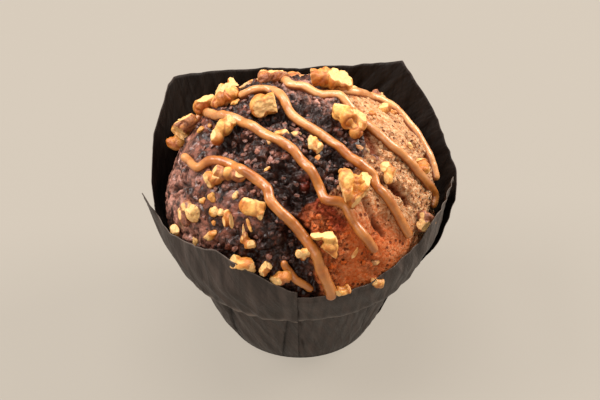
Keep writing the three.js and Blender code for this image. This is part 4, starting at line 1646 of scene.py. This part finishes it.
    def build(self) -> bpy.types.Object:
        """Makes the case: its panels and base as sheets, given their thickness together.

        Returns:
            The case.
        """
        points, faces, places, wear_and_painted_light = [], [], [], []
        for panel in PANELS:
            more = self.panel_mesh(panel)
            shift = len(points)
            points.extend(more[0])
            faces.extend(tuple(v + shift for v in face) for face in more[1])
            places.extend(more[2])
            wear_and_painted_light.extend(more[3])
        rings = np.linspace(0, self.base_radius + 0.2, self.rings + 1)
        shift = len(points)
        points.append((0.0, 0.0, 0.2 * MM))
        places.append((0.0, 0.0))
        wear_and_painted_light.append((0.0, 0.0))
        for ring in rings[1:]:
            for spoke in range(self.spokes):
                arc = 2 * math.pi * spoke / self.spokes
                dent = 0.15 if ring < self.base_radius - 2 else 0.0
                points.append((ring * math.cos(arc) * MM, ring * math.sin(arc) * MM, dent * MM))
                places.append((ring * math.cos(arc) * MM, ring * math.sin(arc) * MM))
                wear_and_painted_light.append((0.0, 0.0))
        for spoke in range(self.spokes):
            following = (spoke + 1) % self.spokes
            faces.append((shift, shift + 1 + following, shift + 1 + spoke))
            for ring in range(self.rings - 1):
                inner = shift + 1 + ring * self.spokes
                outer = inner + self.spokes
                faces.append((inner + spoke, inner + following, outer + following, outer + spoke))
        obj = object_from("paper_case", np.array(points), faces)
        uv = obj.data.uv_layers.new(name="sheet")
        for loop in obj.data.loops:
            uv.data[loop.index].uv = places[loop.vertex_index]
        paint(obj, "wear_and_highlight", np.array(wear_and_painted_light)[:, 0])
        paint(obj, "painted_fold_shadow", np.array(wear_and_painted_light)[:, 1])
        modify(obj, "SOLIDIFY", thickness=self.thickness * MM, offset=0.0)
        self.finish.dress(obj)
        obj.data.materials.append(self.shaded_lining.material)
        # the darker copy goes on the inner faces above the cup, as painted shade
        for face in obj.data.polygons:
            away = face.normal.x * face.center.x + face.normal.y * face.center.y
            face.material_index = int(away < 0 and face.center.z > self.cup_height * MM)
        smooth(obj)
        return finish_piece(obj, ["tulip_case"])


# ---------------------------------------------------------------- studio


@dataclass
class Studio:
    """A pale floor, soft lights and the camera."""

    look_at: Vector = field(default_factory=lambda: Vector((0.0, 0.0, 0.043)))
    distance: float = 0.55
    elevation: float = 39.0
    lens: float = 99.7
    raised: float = 3.64 * MM

    def camera(self) -> None:
        """Adds the camera, looking along +Y and down."""
        tip = math.radians(self.elevation)
        back = Vector((0.0, -math.cos(tip), math.sin(tip)))
        up = Vector((0.0, math.sin(tip), math.cos(tip)))
        aim = self.look_at + up * self.raised
        data = bpy.data.cameras.new("camera")
        data.lens = self.lens
        data.sensor_width = 36.0
        data.clip_start, data.clip_end = 0.01, 20.0
        obj = bpy.data.objects.new("camera", data)
        obj.location = aim + back * self.distance
        obj.rotation_euler = (math.pi / 2 - tip, 0.0, 0.0)
        bpy.context.collection.objects.link(obj)
        bpy.context.scene.camera = obj

    def light(self, name: str, place: tuple[float, float, float], size: float, power: float,
              colour: Colour) -> None:
        """Adds one square soft light that faces the muffin.

        Args:
            name: The light's name.
            place: Where it stands, in metres.
            size: Its side, in metres.
            power: Its power, in watts.
            colour: Its colour.
        """
        data = bpy.data.lights.new(name, "AREA")
        data.size, data.energy, data.color = size, power, colour
        obj = bpy.data.objects.new(name, data)
        obj.location = Vector(place)
        obj.rotation_euler = (self.look_at - obj.location).to_track_quat("-Z", "Y").to_euler()
        bpy.context.collection.objects.link(obj)

    def floor(self) -> None:
        """Adds the plain pale floor."""
        finish = Finish("floor")
        sheet = finish.sheet
        mottle = sheet.speckle(6.0, 0.0, 2.0)
        colour = sheet.blend(mottle, (0.078, 0.070, 0.061), (0.080, 0.072, 0.063))
        finish.set(Base_Color=colour, Roughness=0.9, Specular_IOR_Level=0.1,
                   Emission_Color=(0.455, 0.402, 0.334), Emission_Strength=1.0)
        bpy.ops.object.select_all(action="DESELECT")
        bpy.ops.mesh.primitive_plane_add(size=8.0, location=(0.0, 0.0, 0.0))
        floor = bpy.context.active_object
        floor.name = "studio_floor"
        finish.dress(floor)

    def build(self) -> None:
        """Sets the studio up."""
        self.camera()
        self.floor()
        self.light("key_left", (-1.25, 0.20, 1.20), 0.8, 30.0, (1.0, 0.97, 0.94))
        self.light("key_right", (1.20, 0.45, 1.00), 0.7, 31.0, (1.0, 0.93, 0.85))
        self.light("overhead", (-0.10, 0.55, 1.60), 1.1, 31.0, (1.0, 0.98, 0.95))
        self.light("front_fill", (-0.3, -1.5, 1.1), 1.2, 12.0, (1.0, 0.96, 0.9))
        world = bpy.data.worlds.new("studio")
        world.use_nodes = True
        background = world.node_tree.nodes["Background"]
        background.inputs[0].default_value = (1.0, 0.95, 0.88, 1.0)
        background.inputs[1].default_value = 0.30
        bpy.context.scene.world = world
        bpy.context.scene.view_settings.view_transform = "Standard"


# ---------------------------------------------------------------- main


def main() -> None:
    """Builds the studio and every piece, in order."""
    logging.basicConfig(level=logging.INFO, format="%(name)s %(message)s")
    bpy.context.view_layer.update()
    Studio().build()
    dome = Dome.from_frame()
    batter = Muffin(dome)
    muffin = batter.build()
    crumb, walnut = crumb_finish(CrumbColours()), walnut_finish()
    crumb.dress(muffin)
    finish_piece(muffin, ["muffin_crumb"])
    nuts = WalnutMaker(dome, walnut).build()
    LooseBits(dome, batter).build(muffin, walnut, crumb)
    Drizzle(dome, caramel_finish()).build(muffin, nuts)
    TulipCase(dome, paper_finish(PAPER_OUTSIDE), paper_finish(PAPER_INSIDE_SHADED)).build()


if __name__ == "__main__":
    main()
